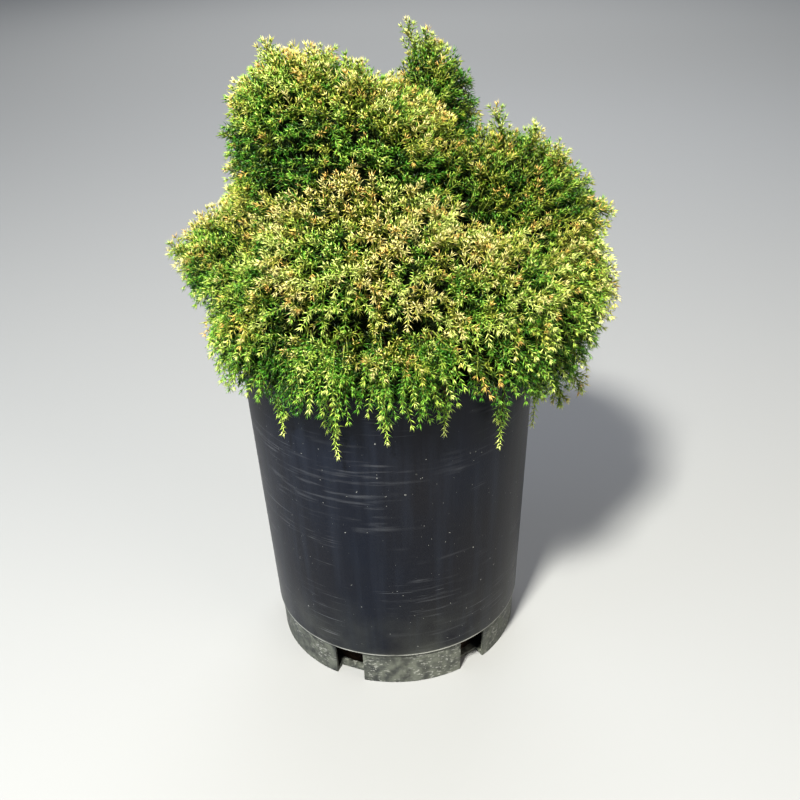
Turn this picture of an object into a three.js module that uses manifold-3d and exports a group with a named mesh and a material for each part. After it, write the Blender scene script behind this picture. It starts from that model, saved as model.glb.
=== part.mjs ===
// A dwarf conifer in a stepped black nursery pot.
// Millimetres, +Z up, +X to the right of the front and -Y towards the front.
// The origin is at ground level on the pot's axis.
import * as THREE from "three";
import { mergeVertices } from "three/addons/utils/BufferGeometryUtils.js";
import Module from "manifold-3d";

const wasm = await Module();
wasm.setup();

// The pot: a tapering body on a slightly narrower foot that has six drain windows
const POT_HEIGHT = 250;
const POT_TOP_RADIUS = 105;
const STEP_HEIGHT = 28;
const STEP_RADIUS = 95.5;
const STEP_LEDGE = 1.6;
const STEP_BEVEL = 0.6;
const FOOT_RADIUS = 93;
const LIP_BEVEL = 0.9;
const WALL = 2.2;
const FLOOR = 3;
const POT_SIDES = 48;
const WINDOW_COUNT = 6;
const WINDOW_FIRST = 245.5;
const WINDOW_WIDTH = 22.5;
const WINDOW_HEIGHT = STEP_HEIGHT - 0.8;
const WINDOW_REACH = 84;
const WINDOW_MARGIN = 1;

// The potting mix, a little mounded round the stem, and set back behind the drain windows
const SOIL_EDGE = 224;
const SOIL_MOUND = 229;
const SOIL_SHOULDER = { radius: 58, height: 225.5 };
const SOIL_TOP_RADIUS = 30;
const SOIL_SETBACK = 5;

// Clearance between pieces that touch
const GAP = 0.35;

// The trunk, from its flat cut on the mix to its fork
const TRUNK_FOOT = new THREE.Vector3(1, 3, SOIL_MOUND + GAP);
const TRUNK_FORK = new THREE.Vector3(-2, 1, 304);
const TRUNK_BEND = new THREE.Vector3(4, 4, 262);
const TRUNK_RADIUS = 9.5;
const TRUNK_FORK_RADIUS = 5.6;
const TRUNK_FLARE = 6.5;
const FLARE_FADE = 9;
const FLARE_LOBES = 5;
const LOBE_DEPTH = 0.25;
const TRUNK_CUT = 4;
const TRUNK_SIDES = 12;
const TRUNK_STEPS = 8;

// The boughs, each one tapering limb that leaves the trunk a little under its fork and sags
const BOUGH_TIP_RADIUS = 2;
const BOUGH_SIDES = 5;
const BOUGH_STEPS = 3;
const BOUGH_SAG = 3;
const FORK_DROP = 2;

// The bare space under the crown, where the low boughs run out over the rim
const CLEAR_SIDES = 24;
const BARE_RADIUS = 98;
const BARE_HEIGHT = 259;
const BARE_MARGIN = 1.2;

// The open middle of the crown, where the upper boughs fan out
const HEART = { centre: new THREE.Vector3(0, 6, 292), radius: 34 };

// A mass: its dense core as a share of its reach, and the lumps of its surface
const CORE_SHARE = 0.82;
const LUMP_DEPTH = 0.05;
const LUMP_PITCH = 3.6;
const STEM_ROOT_RADIUS = 3.1;
const STEM_TIP_RADIUS = 2.2;
const STEM_LENGTH = 5;
const STEM_ROOT = 0.5;

// Walls that lie beyond this share of a mass's longest radius never meet it
const WALL_REACH = 1.3;

// Seeds: one for each mass's lumps and one for its sprigs, with its index added
const LUMP_SEED = 1000;
const SPRIG_SEED = 2000;

// A sprig stands on one face of the core: a stalk with three needles and a tip. Its corners are
// shares of the face's own corners, pushed outwards by a share of the sprig's height
const SPRIG_SHARE = 0.26;
const FULL_SIZE = 52;
const SHORTEST_SPRIG = 0.95;
const LONGEST_SPRIG = 1.12;
const STALK = { foot: 0.3, footRise: 0.06, top: 0.14, topRise: 0.62 };
const NEEDLE = { edge: 0.1, rise: 0.8, sway: 0.14 };

// Where a sprig stands on its face: how far chance moves it, and the least share of any corner.
// Upper masses lean their sprigs a little upwards, and hanging ones downwards
const SCATTER = 0.2;
const LEAST_WEIGHT = 0.1;
const CROWN_LEAN = 0.2;
const SKIRT_LEAN = -0.5;

// The other free faces rise to low buds
const BUD_RISE = 0.45;

// A long shoot: a slim three-sided stalk of a few tiers, each with three needles
const SHOOT_RADIUS = 1.5;
const SHOOT_ROOT_SWELL = 1.25;
const SHOOT_TAPER = 0.5;
const SHOOT_NEEDLE = 4.6;
const SHOOT_TIER = 9;
const SHOOT_TIP_SHARE = 0.7;
const SPIKE_RISE = 0.95;
const LEADER_ROOT = 0.9;

// Foliage is kept this far from the limbs, which are tried at this many places
const LIMB_MARGIN = 1.5;
const LIMB_TRIES = 10;

// Masses of the upper and middle crown: centre, radii, and where the bough leaves the trunk
const CROWN = [
  { name: "left_dome", at: [-49, 2, 386], radii: [55, 57, 62], leaves: 302, bough: 5.2, look: "gold" },
  { name: "centre_ridge", at: [-4, 4, 361], radii: [58, 57, 58], leaves: 304, bough: 4.8, look: "gold" },
  { name: "back_spire", at: [41, 62, 374], radii: [33, 36, 56], leaves: 294, bough: 4.4, look: "green" },
  { name: "right_shoulder", at: [90, 14, 330], radii: [60, 57, 54], leaves: 288, bough: 5, look: "gold" },
  { name: "front_crown", at: [-14, -64, 322], radii: [64, 56, 54], leaves: 286, bough: 4.8, look: "gold" },
  { name: "front_left", at: [-64, -54, 282], radii: [48, 53, 50], leaves: 272, bough: 4.4, look: "green" },
  { name: "front_right", at: [58, -66, 288], radii: [56, 54, 58], leaves: 276, bough: 4.4, look: "gold" },
  { name: "left_wing", at: [-102, 2, 303], radii: [45, 47, 36], leaves: 280, bough: 4.2, look: "green" },
  { name: "right_flank", at: [105, -18, 267], radii: [47, 58, 65], leaves: 264, bough: 4.6, look: "lime" },
  { name: "back_left", at: [-66, 76, 297], radii: [58, 56, 64], leaves: 282, bough: 4.6, look: "green" },
  { name: "back_crown", at: [4, 90, 312], radii: [54, 52, 64], leaves: 290, bough: 4.4, look: "green" },
  { name: "back_right", at: [80, 76, 284], radii: [56, 54, 62], leaves: 268, bough: 4.4, look: "lime" },
];

// Masses that hang outside the rim: angle round the pot, distance out, height and radii
const SKIRTS = [
  { name: "skirt_left", angle: 196, out: 106, height: 263, radii: [27, 15, 27], leaves: 243 },
  { name: "skirt_front_left", angle: 222, out: 113, height: 265, radii: [29, 21, 29], leaves: 251 },
  { name: "skirt_front", angle: 248, out: 115, height: 266, radii: [35, 24, 33], leaves: 243 },
  { name: "skirt_front_mid", angle: 275, out: 115, height: 267, radii: [35, 24, 33], leaves: 251 },
  { name: "skirt_front_right", angle: 312, out: 116, height: 256, radii: [38, 24, 40], leaves: 243 },
  { name: "skirt_right", angle: 20, out: 115, height: 262, radii: [35, 24, 37], leaves: 251 },
  { name: "skirt_back_right", angle: 70, out: 116, height: 262, radii: [40, 24, 38], leaves: 243 },
  { name: "skirt_back_left", angle: 109, out: 116, height: 263, radii: [40, 24, 38], leaves: 251 },
  { name: "skirt_side_left", angle: 163, out: 108, height: 261, radii: [36, 17, 34], leaves: 243 },
];
const SKIRT_BOUGH = 3.2;
const SKIRT_ENTRY_OUT = 86;
const SKIRT_ENTRY_HEIGHT = 256;
const SKIRT_BEND_HEIGHT = 255;

// Longer shoots that set the outline: the mass each grows from, and its tip
const LEADERS = [
  { mass: "left_dome", tip: [-28, 0, 443] },
  { mass: "left_dome", tip: [-70, 6, 448] },
  { mass: "centre_ridge", tip: [-10, 2, 435] },
  { mass: "back_spire", tip: [20, 60, 450] },
  { mass: "back_spire", tip: [34, 56, 444] },
  { mass: "back_spire", tip: [6, 60, 412] },
  { mass: "right_shoulder", tip: [75, 4, 404] },
  { mass: "right_shoulder", tip: [103, 0, 392] },
  { mass: "right_shoulder", tip: [121, 0, 376] },
  { mass: "right_shoulder", tip: [160, 0, 328] },
  { mass: "right_flank", tip: [160, -10, 277] },
  { mass: "right_flank", tip: [138, -30, 203] },
  { mass: "right_flank", tip: [120, -42, 199] },
  { mass: "left_wing", tip: [-146, -8, 318] },
];

// Hanging tails: the mass, the angle round the pot, and the heights of the root and of the tip
const TAILS = [
  { mass: "skirt_front_left", angle: 232, from: 250, foot: 213 },
  { mass: "skirt_front", angle: 251, from: 250, foot: 206 },
  { mass: "skirt_front_mid", angle: 268, from: 251, foot: 218 },
  { mass: "skirt_front_mid", angle: 287, from: 258, foot: 220 },
  { mass: "skirt_front_right", angle: 309, from: 243, foot: 196 },
  { mass: "right_flank", angle: 331, from: 243, foot: 194 },
  { mass: "skirt_right", angle: 16, from: 248, foot: 210 },
  { mass: "skirt_back_right", angle: 64, from: 248, foot: 206 },
  { mass: "skirt_back_left", angle: 114, from: 249, foot: 212 },
  { mass: "skirt_side_left", angle: 166, from: 247, foot: 208 },
];
const TAIL_OUT = 111.5;
const TAIL_ROOT_OUT = 115;

const COLOURS = {
  pot: { color: 0x24272e, roughness: 0.55 },
  soil: { color: 0x2b211a, roughness: 1 },
  bark: { color: 0x5a3f2b, roughness: 0.9 },
  gold: { color: 0x9d9a45, roughness: 0.75 },
  green: { color: 0x6f8a35, roughness: 0.75 },
  lime: { color: 0x93a83c, roughness: 0.75 },
};

/** A repeatable stream of numbers from 0 to 1. */
function seeded(seed) {
  let state = seed >>> 0;
  return () => {
    state = (state + 0x6d2b79f5) >>> 0;
    let mixed = Math.imul(state ^ (state >>> 15), state | 1);
    mixed ^= mixed + Math.imul(mixed ^ (mixed >>> 7), mixed | 61);
    return ((mixed ^ (mixed >>> 14)) >>> 0) / 4294967296;
  };
}

/** A point at an angle round the pot's axis, in degrees from +X. */
function polar(angle, out, height) {
  const turn = THREE.MathUtils.degToRad(angle);
  return new THREE.Vector3(out * Math.cos(turn), out * Math.sin(turn), height);
}

/** A closed geometry as a solid that can be joined and cut. */
function solidOf(geometry) {
  const bare = geometry.clone();
  bare.deleteAttribute("normal");
  bare.deleteAttribute("uv");
  const merged = mergeVertices(bare, 1e-4);
  const mesh = new wasm.Mesh({
    numProp: 3,
    vertProperties: new Float32Array(merged.attributes.position.array),
    triVerts: new Uint32Array(merged.index.array),
  });
  return new wasm.Manifold(mesh);
}

/** The largest body of a solid, as a geometry. */
function geometryOf(solid) {
  const whole = solid.decompose().sort((a, b) => b.volume() - a.volume())[0];
  const mesh = whole.getMesh();
  const geometry = new THREE.BufferGeometry();
  geometry.setAttribute("position", new THREE.BufferAttribute(new Float32Array(mesh.vertProperties), 3));
  geometry.setIndex(new THREE.BufferAttribute(new Uint32Array(mesh.triVerts), 1));
  geometry.computeVertexNormals();
  return geometry;
}

/** A solid with other solids cut out of it. */
function cutBy(solid, cutters) {
  return cutters.reduce((rest, cutter) => rest.subtract(cutter), solid);
}

/** Revolves [radius, height] pairs about the vertical axis. */
function turned(profile, sides = POT_SIDES) {
  const points = profile.map(([radius, height]) => new THREE.Vector2(radius, height));
  return new THREE.LatheGeometry(points, sides).rotateX(Math.PI / 2);
}

/** A limb of changing radius along a curve, with flat ends. */
function sweptLimb(curve, radiusAt, sides, steps) {
  const geometry = new THREE.CylinderGeometry(1, 1, 1, sides, steps);
  const frames = curve.computeFrenetFrames(steps, false);
  const position = geometry.attributes.position;
  const corner = new THREE.Vector3();
  for (let i = 0; i < position.count; i++) {
    const ring = Math.round((position.getY(i) + 0.5) * steps);
    const share = ring / steps;
    const angle = Math.atan2(position.getZ(i), position.getX(i));
    const out = Math.hypot(position.getX(i), position.getZ(i)) * radiusAt(share, angle);
    corner.copy(curve.getPoint(share));
    corner.addScaledVector(frames.normals[ring], out * Math.cos(angle));
    corner.addScaledVector(frames.binormals[ring], -out * Math.sin(angle));
    position.setXYZ(i, corner.x, corner.y, corner.z);
  }
  return geometry;
}

/** The pot's outer radius at a height above its step. */
function potRadius(height) {
  const share = (height - STEP_HEIGHT) / (POT_HEIGHT - STEP_HEIGHT);
  return STEP_RADIUS + (POT_TOP_RADIUS - STEP_RADIUS) * share;
}

/** The radius of the pot's inside at a height. */
function innerRadius(height) {
  const share = (height - FLOOR) / (POT_HEIGHT - FLOOR);
  return FOOT_RADIUS + (POT_TOP_RADIUS - FOOT_RADIUS) * share - WALL;
}

/** The six blocks that cut the drain windows, from a radius outwards. */
function windowBlocks(reach) {
  return Array.from({ length: WINDOW_COUNT }, (_, k) => {
    const turn = THREE.MathUtils.degToRad(WINDOW_FIRST + (360 / WINDOW_COUNT) * k);
    const deep = STEP_RADIUS + WINDOW_MARGIN - reach;
    const block = new THREE.BoxGeometry(deep, WINDOW_WIDTH, WINDOW_HEIGHT + WINDOW_MARGIN);
    block.translate(reach + deep / 2, 0, (WINDOW_HEIGHT - WINDOW_MARGIN) / 2);
    return solidOf(block.rotateZ(turn));
  });
}

function makePot() {
  const shell = turned([
    [0, 0],
    [FOOT_RADIUS, 0],
    [STEP_RADIUS - STEP_LEDGE, STEP_HEIGHT],
    [STEP_RADIUS - STEP_BEVEL, STEP_HEIGHT],
    [STEP_RADIUS, STEP_HEIGHT + STEP_BEVEL],
    [POT_TOP_RADIUS, POT_HEIGHT - LIP_BEVEL],
    [POT_TOP_RADIUS - LIP_BEVEL, POT_HEIGHT],
    [POT_TOP_RADIUS - WALL, POT_HEIGHT],
    [FOOT_RADIUS - WALL, FLOOR],
    [0, FLOOR],
  ]);
  return geometryOf(cutBy(solidOf(shell), windowBlocks(WINDOW_REACH)));
}

function makeSoil() {
  const inner = (height) => innerRadius(height) - GAP;
  const fill = turned([
    [0, FLOOR + GAP],
    [inner(FLOOR), FLOOR + GAP],
    [inner(SOIL_EDGE), SOIL_EDGE],
    [SOIL_SHOULDER.radius, SOIL_SHOULDER.height],
    [SOIL_TOP_RADIUS, SOIL_MOUND],
    [0, SOIL_MOUND],
  ]);
  return geometryOf(cutBy(solidOf(fill), windowBlocks(WINDOW_REACH - SOIL_SETBACK)));
}

const trunkLine = new THREE.QuadraticBezierCurve3(TRUNK_FOOT, TRUNK_BEND, TRUNK_FORK);

/** The trunk's radius at a share of its length, with the root flare in low lobes. */
function trunkRadius(share, angle = 0) {
  const shaft = TRUNK_RADIUS + (TRUNK_FORK_RADIUS - TRUNK_RADIUS) * share;
  const flare = TRUNK_FLARE * Math.exp(-share * FLARE_FADE);
  return shaft + flare * (1 + LOBE_DEPTH * Math.cos(FLARE_LOBES * angle));
}

/** The trunk, or the same limb swollen by a clearance. */
function trunkLimb(swell = 0) {
  const radius = (share, angle) => trunkRadius(share, angle) + swell;
  const limb = sweptLimb(trunkLine, radius, TRUNK_SIDES, TRUNK_STEPS);
  // The foot is a level cut, whatever the lean of the trunk above it
  const position = limb.attributes.position;
  for (let i = 0; i < position.count; i++) {
    const isFoot = position.getZ(i) < TRUNK_FOOT.z + TRUNK_CUT;
    if (isFoot) position.setZ(i, TRUNK_FOOT.z);
  }
  return limb;
}

/** The share of the trunk's length at a height. */
function trunkShareAt(height) {
  let low = 0;
  let high = 1;
  for (let k = 0; k < 24; k++) {
    const middle = (low + high) / 2;
    if (trunkLine.getPoint(middle).z < height) low = middle;
    else high = middle;
  }
  return low;
}

/** One mass of foliage: its space, its dense core, its stem and its bough. */
class Mass {
  constructor(sizes, index) {
    Object.assign(this, sizes);
    this.index = index;
    const random = seeded(LUMP_SEED + index);
    this.spin = random() * Math.PI * 2;
    this.lumps = [0, 1, 2].map(() => {
      const way = new THREE.Vector3(random() - 0.5, random() - 0.5, random() - 0.5).normalize();
      return { way: way.multiplyScalar(LUMP_PITCH), phase: random() * Math.PI * 2 };
    });
  }

  /** The reach of the plain ellipsoid along a unit vector. */
  plainReach(way) {
    const turn = THREE.MathUtils.degToRad(this.turn ?? 0);
    const across = way.x * Math.cos(turn) + way.y * Math.sin(turn);
    const along = way.y * Math.cos(turn) - way.x * Math.sin(turn);
    const [a, b, c] = this.radii;
    return 1 / Math.hypot(across / a, along / b, way.z / c);
  }

  /** How far the needles reach from the centre along a unit vector. */
  reach(way) {
    const swell = this.lumps.reduce((sum, lump) => sum + Math.cos(lump.way.dot(way) + lump.phase), 0);
    return this.plainReach(way) * (1 + LUMP_DEPTH * swell);
  }

  /** The walls that part this mass from its neighbours, each set by the reach of both sides. */
  shareSpace(masses) {
    this.walls = masses.filter((other) => other !== this).map((other) => {
      const way = other.centre.clone().sub(this.centre);
      const apart = way.length();
      way.divideScalar(apart);
      const mine = this.plainReach(way);
      const theirs = other.plainReach(way.clone().negate());
      return { way, distance: (apart * mine) / (mine + theirs) };
    });
    const heartWay = HEART.centre.clone().sub(this.centre);
    const heartApart = heartWay.length();
    this.walls.push({ way: heartWay.divideScalar(heartApart), distance: heartApart - HEART.radius });
    this.walls = this.walls.filter((wall) => wall.distance < Math.max(...this.radii) * WALL_REACH);
  }

  /** How far a ray from the centre runs before it meets a wall. */
  roomAlong(way) {
    const limits = this.walls.map((wall) => {
      const toward = wall.way.dot(way);
      return toward > 1e-6 ? (wall.distance - GAP) / toward : Infinity;
    });
    return Math.min(...limits);
  }

  /** True if a point is in this mass's own space. */
  owns(point) {
    const from = point.clone().sub(this.centre);
    return this.walls.every((wall) => wall.way.dot(from) < wall.distance - GAP);
  }

  coreRadius(way) {
    return Math.min(this.reach(way) * CORE_SHARE, this.roomAlong(way));
  }

  /** True where the core ends short of every wall, so that sprigs can stand on it. */
  isFree(way) {
    return this.roomAlong(way) > this.reach(way) * CORE_SHARE;
  }

  /** True if foliage may fill a point: in this mass's space, and clear of the pot and the limbs. */
  mayFill(point) {
    return this.owns(point) && !inPotSpace(point) && limbClearance(point) > GAP;
  }

  /** The faces of a sprig or of a bud on one free face of the core. */
  growOn(corners, random) {
    const offsets = corners.map((corner) => corner.clone().sub(this.centre));
    const at = (shares, push) =>
      offsets.reduce((sum, offset, k) => sum.addScaledVector(offset, shares[k] * push), this.centre.clone());
    const toward = (shares, middle, pull) => shares.map((share, k) => share * pull + middle[k] * (1 - pull));
    const heights = offsets.map((offset) => offset.z);
    const spread = Math.max(...heights) - Math.min(...heights) + 1;
    const mean = (heights[0] + heights[1] + heights[2]) / 3;
    const weights = heights.map((height) =>
      Math.max(LEAST_WEIGHT, 1 / 3 + (this.lean * (height - mean)) / spread + (random() - 0.5) * SCATTER));
    const total = weights[0] + weights[1] + weights[2];
    const middle = weights.map((weight) => weight / total);
    const way = at(middle, 1).sub(this.centre).normalize();
    const height = SHORTEST_SPRIG + (LONGEST_SPRIG - SHORTEST_SPRIG) * random();
    const rise = (this.reach(way) * height) / at(middle, 1).distanceTo(this.centre) - 1;
    const sway = (random() - 0.5) * NEEDLE.sway;
    const kind = random();
    const [a, b, c] = corners;
    const bud = at(middle, 1 + rise * BUD_RISE);
    if (!this.mayFill(bud)) return [[a, b, c]];
    const tip = at(middle, 1 + rise);
    const corner = (k) => [0, 1, 2].map((n) => Number(n === k));
    const edge = (k) => [0, 1, 2].map((n) => {
      if (n === (k + 2) % 3) return NEEDLE.edge;
      return (1 - NEEDLE.edge) / 2 + (n === k ? sway : -sway);
    });
    const needles = [0, 1, 2].map((k) => at(edge(k), 1 + rise * NEEDLE.rise));
    const whole = this.mayFill(tip) && needles.every((needle) => this.mayFill(needle));
    const size = Math.min(1, Math.min(...this.radii) / FULL_SIZE);
    const share = this.skirt ? SPRIG_SHARE : SPRIG_SHARE * size * size;
    if (kind > share || !whole) return [[a, b, bud], [b, c, bud], [c, a, bud]];
    const foot = [0, 1, 2].map((k) => at(toward(corner(k), middle, STALK.foot), 1 + rise * STALK.footRise));
    const top = [0, 1, 2].map((k) => at(toward(edge(k), middle, STALK.top), 1 + rise * STALK.topRise));
    return [0, 1, 2].flatMap((k) => {
      const next = (k + 1) % 3;
      return [
        [corners[k], corners[next], foot[next]],
        [corners[k], foot[next], foot[k]],
        [foot[k], foot[next], needles[k]],
        [foot[next], top[k], needles[k]],
        [top[k], foot[k], needles[k]],
        [foot[k], top[k], top[(k + 2) % 3]],
        [top[k], top[next], tip],
      ];
    });
  }

  /** The dense core with its sprigs and buds. */
  makeCore() {
    const random = seeded(SPRIG_SEED + this.index);
    const ball = new THREE.IcosahedronGeometry(1, this.skirt ? 1 : 2).rotateZ(this.spin);
    const position = ball.attributes.position;
    const faces = [];
    for (let i = 0; i < position.count; i += 3) {
      const ways = [0, 1, 2].map((k) => new THREE.Vector3().fromBufferAttribute(position, i + k).normalize());
      const corners = ways.map((way) => way.clone().multiplyScalar(this.coreRadius(way)).add(this.centre));
      if (ways.every((way) => this.isFree(way))) faces.push(...this.growOn(corners, random));
      else faces.push(corners);
    }
    const geometry = new THREE.BufferGeometry();
    const points = faces.flat().flatMap((corner) => corner.toArray());
    geometry.setAttribute("position", new THREE.Float32BufferAttribute(points, 3));
    return solidOf(geometry);
  }

  /** The line of the bough, from the trunk's middle line to this mass's stem. */
  planBough() {
    const share = trunkShareAt(Math.min(this.leaves, TRUNK_FORK.z - FORK_DROP));
    this.start = trunkLine.getPoint(share);
    const target = this.skirt ? polar(this.angle, SKIRT_ENTRY_OUT, SKIRT_ENTRY_HEIGHT) : HEART.centre;
    this.inward = target.clone().sub(this.centre).normalize();
    this.entry = this.centre.clone().addScaledVector(this.inward, this.coreRadius(this.inward) + STEM_LENGTH);
    if (this.skirt) this.entry = target;
    const bend = this.start.clone().lerp(this.entry, 0.5);
    bend.z = this.skirt ? SKIRT_BEND_HEIGHT : bend.z - BOUGH_SAG;
    this.line = new THREE.QuadraticBezierCurve3(this.start, bend, this.entry);
  }

  boughRadius(share) {
    return this.bough + (BOUGH_TIP_RADIUS - this.bough) * share;
  }

  boughLimb(swell = 0) {
    const ends = this.line.clone();
    ends.v2.addScaledVector(this.line.getTangent(1), swell);
    return sweptLimb(ends, (share) => this.boughRadius(share) + swell, BOUGH_SIDES, BOUGH_STEPS);
  }

  makeStem(swell = 0) {
    const depth = this.coreRadius(this.inward) * STEM_ROOT;
    const inside = this.centre.clone().addScaledVector(this.inward, depth);
    const line = new THREE.LineCurve3(inside, this.entry);
    const radius = (share) => STEM_ROOT_RADIUS + (STEM_TIP_RADIUS - STEM_ROOT_RADIUS) * share + swell;
    return solidOf(sweptLimb(line, radius, BOUGH_SIDES, 1));
  }
}

/** A long shoot from a root to a tip: a slim stalk in tiers, with needles that stand out of it. */
function shootSolid(root, tip) {
  const axis = tip.clone().sub(root);
  const length = axis.length();
  axis.divideScalar(length);
  const tiers = Math.max(2, Math.round(length / SHOOT_TIER));
  const side = new THREE.Vector3().crossVectors(axis, new THREE.Vector3(0.3, 1, 0.2)).normalize();
  const other = new THREE.Vector3().crossVectors(axis, side);
  const third = (Math.PI * 2) / 3;
  const place = (along, out, turns) =>
    root.clone().addScaledVector(axis, along * length)
      .addScaledVector(side, out * Math.cos(third * turns))
      .addScaledVector(other, out * Math.sin(third * turns));
  const whole = tiers + SHOOT_TIP_SHARE;
  const corners = [];
  const faces = [[0, 2, 1]];
  for (let tier = 0; tier <= tiers; tier++) {
    const radius = SHOOT_RADIUS * (SHOOT_ROOT_SWELL - (SHOOT_TAPER * tier) / tiers);
    for (let k = 0; k < 3; k++) corners.push(place(tier / whole, radius, k + tier / 2));
  }
  const tipIndex = corners.push(tip.clone()) - 1;
  for (let tier = 0; tier < tiers; tier++) {
    const [low, high] = [tier * 3, tier * 3 + 3];
    for (let k = 0; k < 3; k++) {
      const [a, b, c, d] = [low + k, low + ((k + 1) % 3), high + k, high + ((k + 2) % 3)];
      const point = place((tier + SPIKE_RISE) / whole, SHOOT_RADIUS + SHOOT_NEEDLE, k + 0.5 + tier / 2);
      const spike = corners.push(point) - 1;
      faces.push([a, b, spike], [b, c, spike], [c, a, spike], [a, c, d]);
    }
  }
  const last = tiers * 3;
  for (let k = 0; k < 3; k++) faces.push([last + k, last + ((k + 1) % 3), tipIndex]);
  const geometry = new THREE.BufferGeometry();
  geometry.setAttribute("position", new THREE.Float32BufferAttribute(corners.flatMap((p) => p.toArray()), 3));
  geometry.setIndex(faces.flat());
  return solidOf(geometry);
}

const masses = [
  ...CROWN.map((row) => ({ ...row, centre: new THREE.Vector3(...row.at), lean: CROWN_LEAN })),
  ...SKIRTS.map((row) => ({
    ...row,
    skirt: true,
    turn: row.angle - 90,
    centre: polar(row.angle, row.out, row.height),
    bough: SKIRT_BOUGH,
    look: "lime",
    lean: SKIRT_LEAN,
  })),
].map((row, index) => new Mass(row, index));
for (const mass of masses) mass.shareSpace(masses);
for (const mass of masses) mass.planBough();

// The space of the pot and the bare space over it, with few sides, drawn round the pot's own
const outside = 1 / Math.cos(Math.PI / CLEAR_SIDES);
const potSpace = solidOf(turned([
  [0, 0],
  [(potRadius(0) + GAP) * outside, 0],
  [(POT_TOP_RADIUS + GAP) * outside, POT_HEIGHT + GAP],
  [BARE_RADIUS, BARE_HEIGHT],
  [0, BARE_HEIGHT],
], CLEAR_SIDES));

/** True if a point is in the pot or in the bare space over it. */
function inPotSpace(point) {
  const out = Math.hypot(point.x, point.y) - BARE_MARGIN;
  if (point.z < POT_HEIGHT + BARE_MARGIN) return out < potRadius(point.z);
  const share = (point.z - POT_HEIGHT) / (BARE_HEIGHT - POT_HEIGHT);
  const isUnder = point.z < BARE_HEIGHT + BARE_MARGIN;
  return isUnder && out < POT_TOP_RADIUS + (BARE_RADIUS - POT_TOP_RADIUS) * share;
}

/** How clear a point is of the boughs and the trunk. */
function limbClearance(point) {
  let least = Infinity;
  for (let k = 0; k <= LIMB_TRIES; k++) {
    const share = k / LIMB_TRIES;
    least = Math.min(least, trunkLine.getPoint(share).distanceTo(point) - trunkRadius(share));
    for (const mass of masses)
      least = Math.min(least, mass.line.getPoint(share).distanceTo(point) - mass.boughRadius(share));
  }
  return least - LIMB_MARGIN;
}

// The limbs, each cut clear of those before it, and the same limbs swollen by the clearance
const trunk = solidOf(trunkLimb());
const swollenLimbs = [solidOf(trunkLimb(GAP))];
const boughs = masses.map((mass) => {
  const bough = cutBy(solidOf(mass.boughLimb()), swollenLimbs);
  swollenLimbs.push(solidOf(mass.boughLimb(GAP)));
  return bough;
});

/** The long shoots of a mass: its leaders and its hanging tails. */
function longShootsOf(mass) {
  const leaders = LEADERS.filter((row) => row.mass === mass.name).map((row) => {
    const tip = new THREE.Vector3(...row.tip);
    const way = tip.clone().sub(mass.centre).normalize();
    return [mass.centre.clone().addScaledVector(way, mass.coreRadius(way) * LEADER_ROOT), tip];
  });
  const tails = TAILS.filter((row) => row.mass === mass.name).map((row) => [
    polar(row.angle, TAIL_ROOT_OUT, row.from),
    polar(row.angle, TAIL_OUT, row.foot),
  ]);
  return [...leaders, ...tails].map(([root, tip]) => shootSolid(root, tip));
}

const swollenStems = masses.map((mass) => mass.makeStem(GAP));

/** A mass: its core cut clear of the pot and of every other stem, then its own stem and shoots. */
function makeMass(mass) {
  const otherStems = swollenStems.filter((stem, k) => k !== mass.index);
  const core = cutBy(mass.makeCore(), [potSpace, ...otherStems]);
  const fused = wasm.Manifold.union([core, mass.makeStem(), ...longShootsOf(mass)]);
  return geometryOf(cutBy(fused, swollenLimbs));
}

const plant = new THREE.Group();
function add(name, geometry, look) {
  const mesh = new THREE.Mesh(geometry, new THREE.MeshStandardMaterial({ ...COLOURS[look], metalness: 0 }));
  mesh.name = name;
  plant.add(mesh);
}

add("pot", makePot(), "pot");
add("soil", makeSoil(), "soil");
add("trunk", geometryOf(trunk), "bark");
masses.forEach((mass, k) => add(`bough_${mass.name}`, geometryOf(boughs[k]), "bark"));
for (const mass of masses) add(mass.name, makeMass(mass), mass.look);

export default plant;
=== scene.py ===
"""A low, lumpy dwarf conifer in a stepped black nursery pot.

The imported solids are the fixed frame. The pot, the potting mix and the limbs are remade with
finer shapes, and each mass of foliage is grown again by the same rule as its solid, carried on
to twigs, sprays and single needles. Growth is worked out in millimetres and written in metres.
"""

import logging
import math
from collections.abc import Callable
from dataclasses import dataclass, field, fields
from enum import Enum

import bmesh
import bpy
import numpy as np
from mathutils import Matrix, Vector, noise


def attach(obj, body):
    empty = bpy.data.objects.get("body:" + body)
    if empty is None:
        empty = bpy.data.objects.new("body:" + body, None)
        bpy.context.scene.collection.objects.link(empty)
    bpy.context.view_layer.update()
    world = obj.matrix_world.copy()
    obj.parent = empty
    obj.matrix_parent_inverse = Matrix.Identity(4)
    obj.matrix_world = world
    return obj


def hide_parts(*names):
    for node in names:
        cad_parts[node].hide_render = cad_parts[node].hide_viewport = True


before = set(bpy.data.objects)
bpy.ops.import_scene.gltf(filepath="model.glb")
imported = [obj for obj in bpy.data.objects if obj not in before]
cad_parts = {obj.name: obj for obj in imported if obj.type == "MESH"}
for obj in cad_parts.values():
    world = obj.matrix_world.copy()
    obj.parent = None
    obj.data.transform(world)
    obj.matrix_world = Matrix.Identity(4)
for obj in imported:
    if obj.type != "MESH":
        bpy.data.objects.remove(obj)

log = logging.getLogger("potted_conifer")

MM = 0.001
BODY = "root"
FULL_TURN = 2.0 * math.pi
GOLDEN_TURN = math.pi * (3.0 - math.sqrt(5.0))
TINY = 1e-9
LEVEL = 1e-6
UP = np.array([0.0, 0.0, 1.0])
Array = np.ndarray
Random = np.random.Generator
Node = bpy.types.Node
Socket = bpy.types.NodeSocket
Tree = bpy.types.NodeTree
Material = bpy.types.Material
Mesh = bpy.types.Mesh
Cells = bmesh.types.BMesh
Pair = tuple[float, float]
Point3 = tuple[float, float, float]

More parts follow.
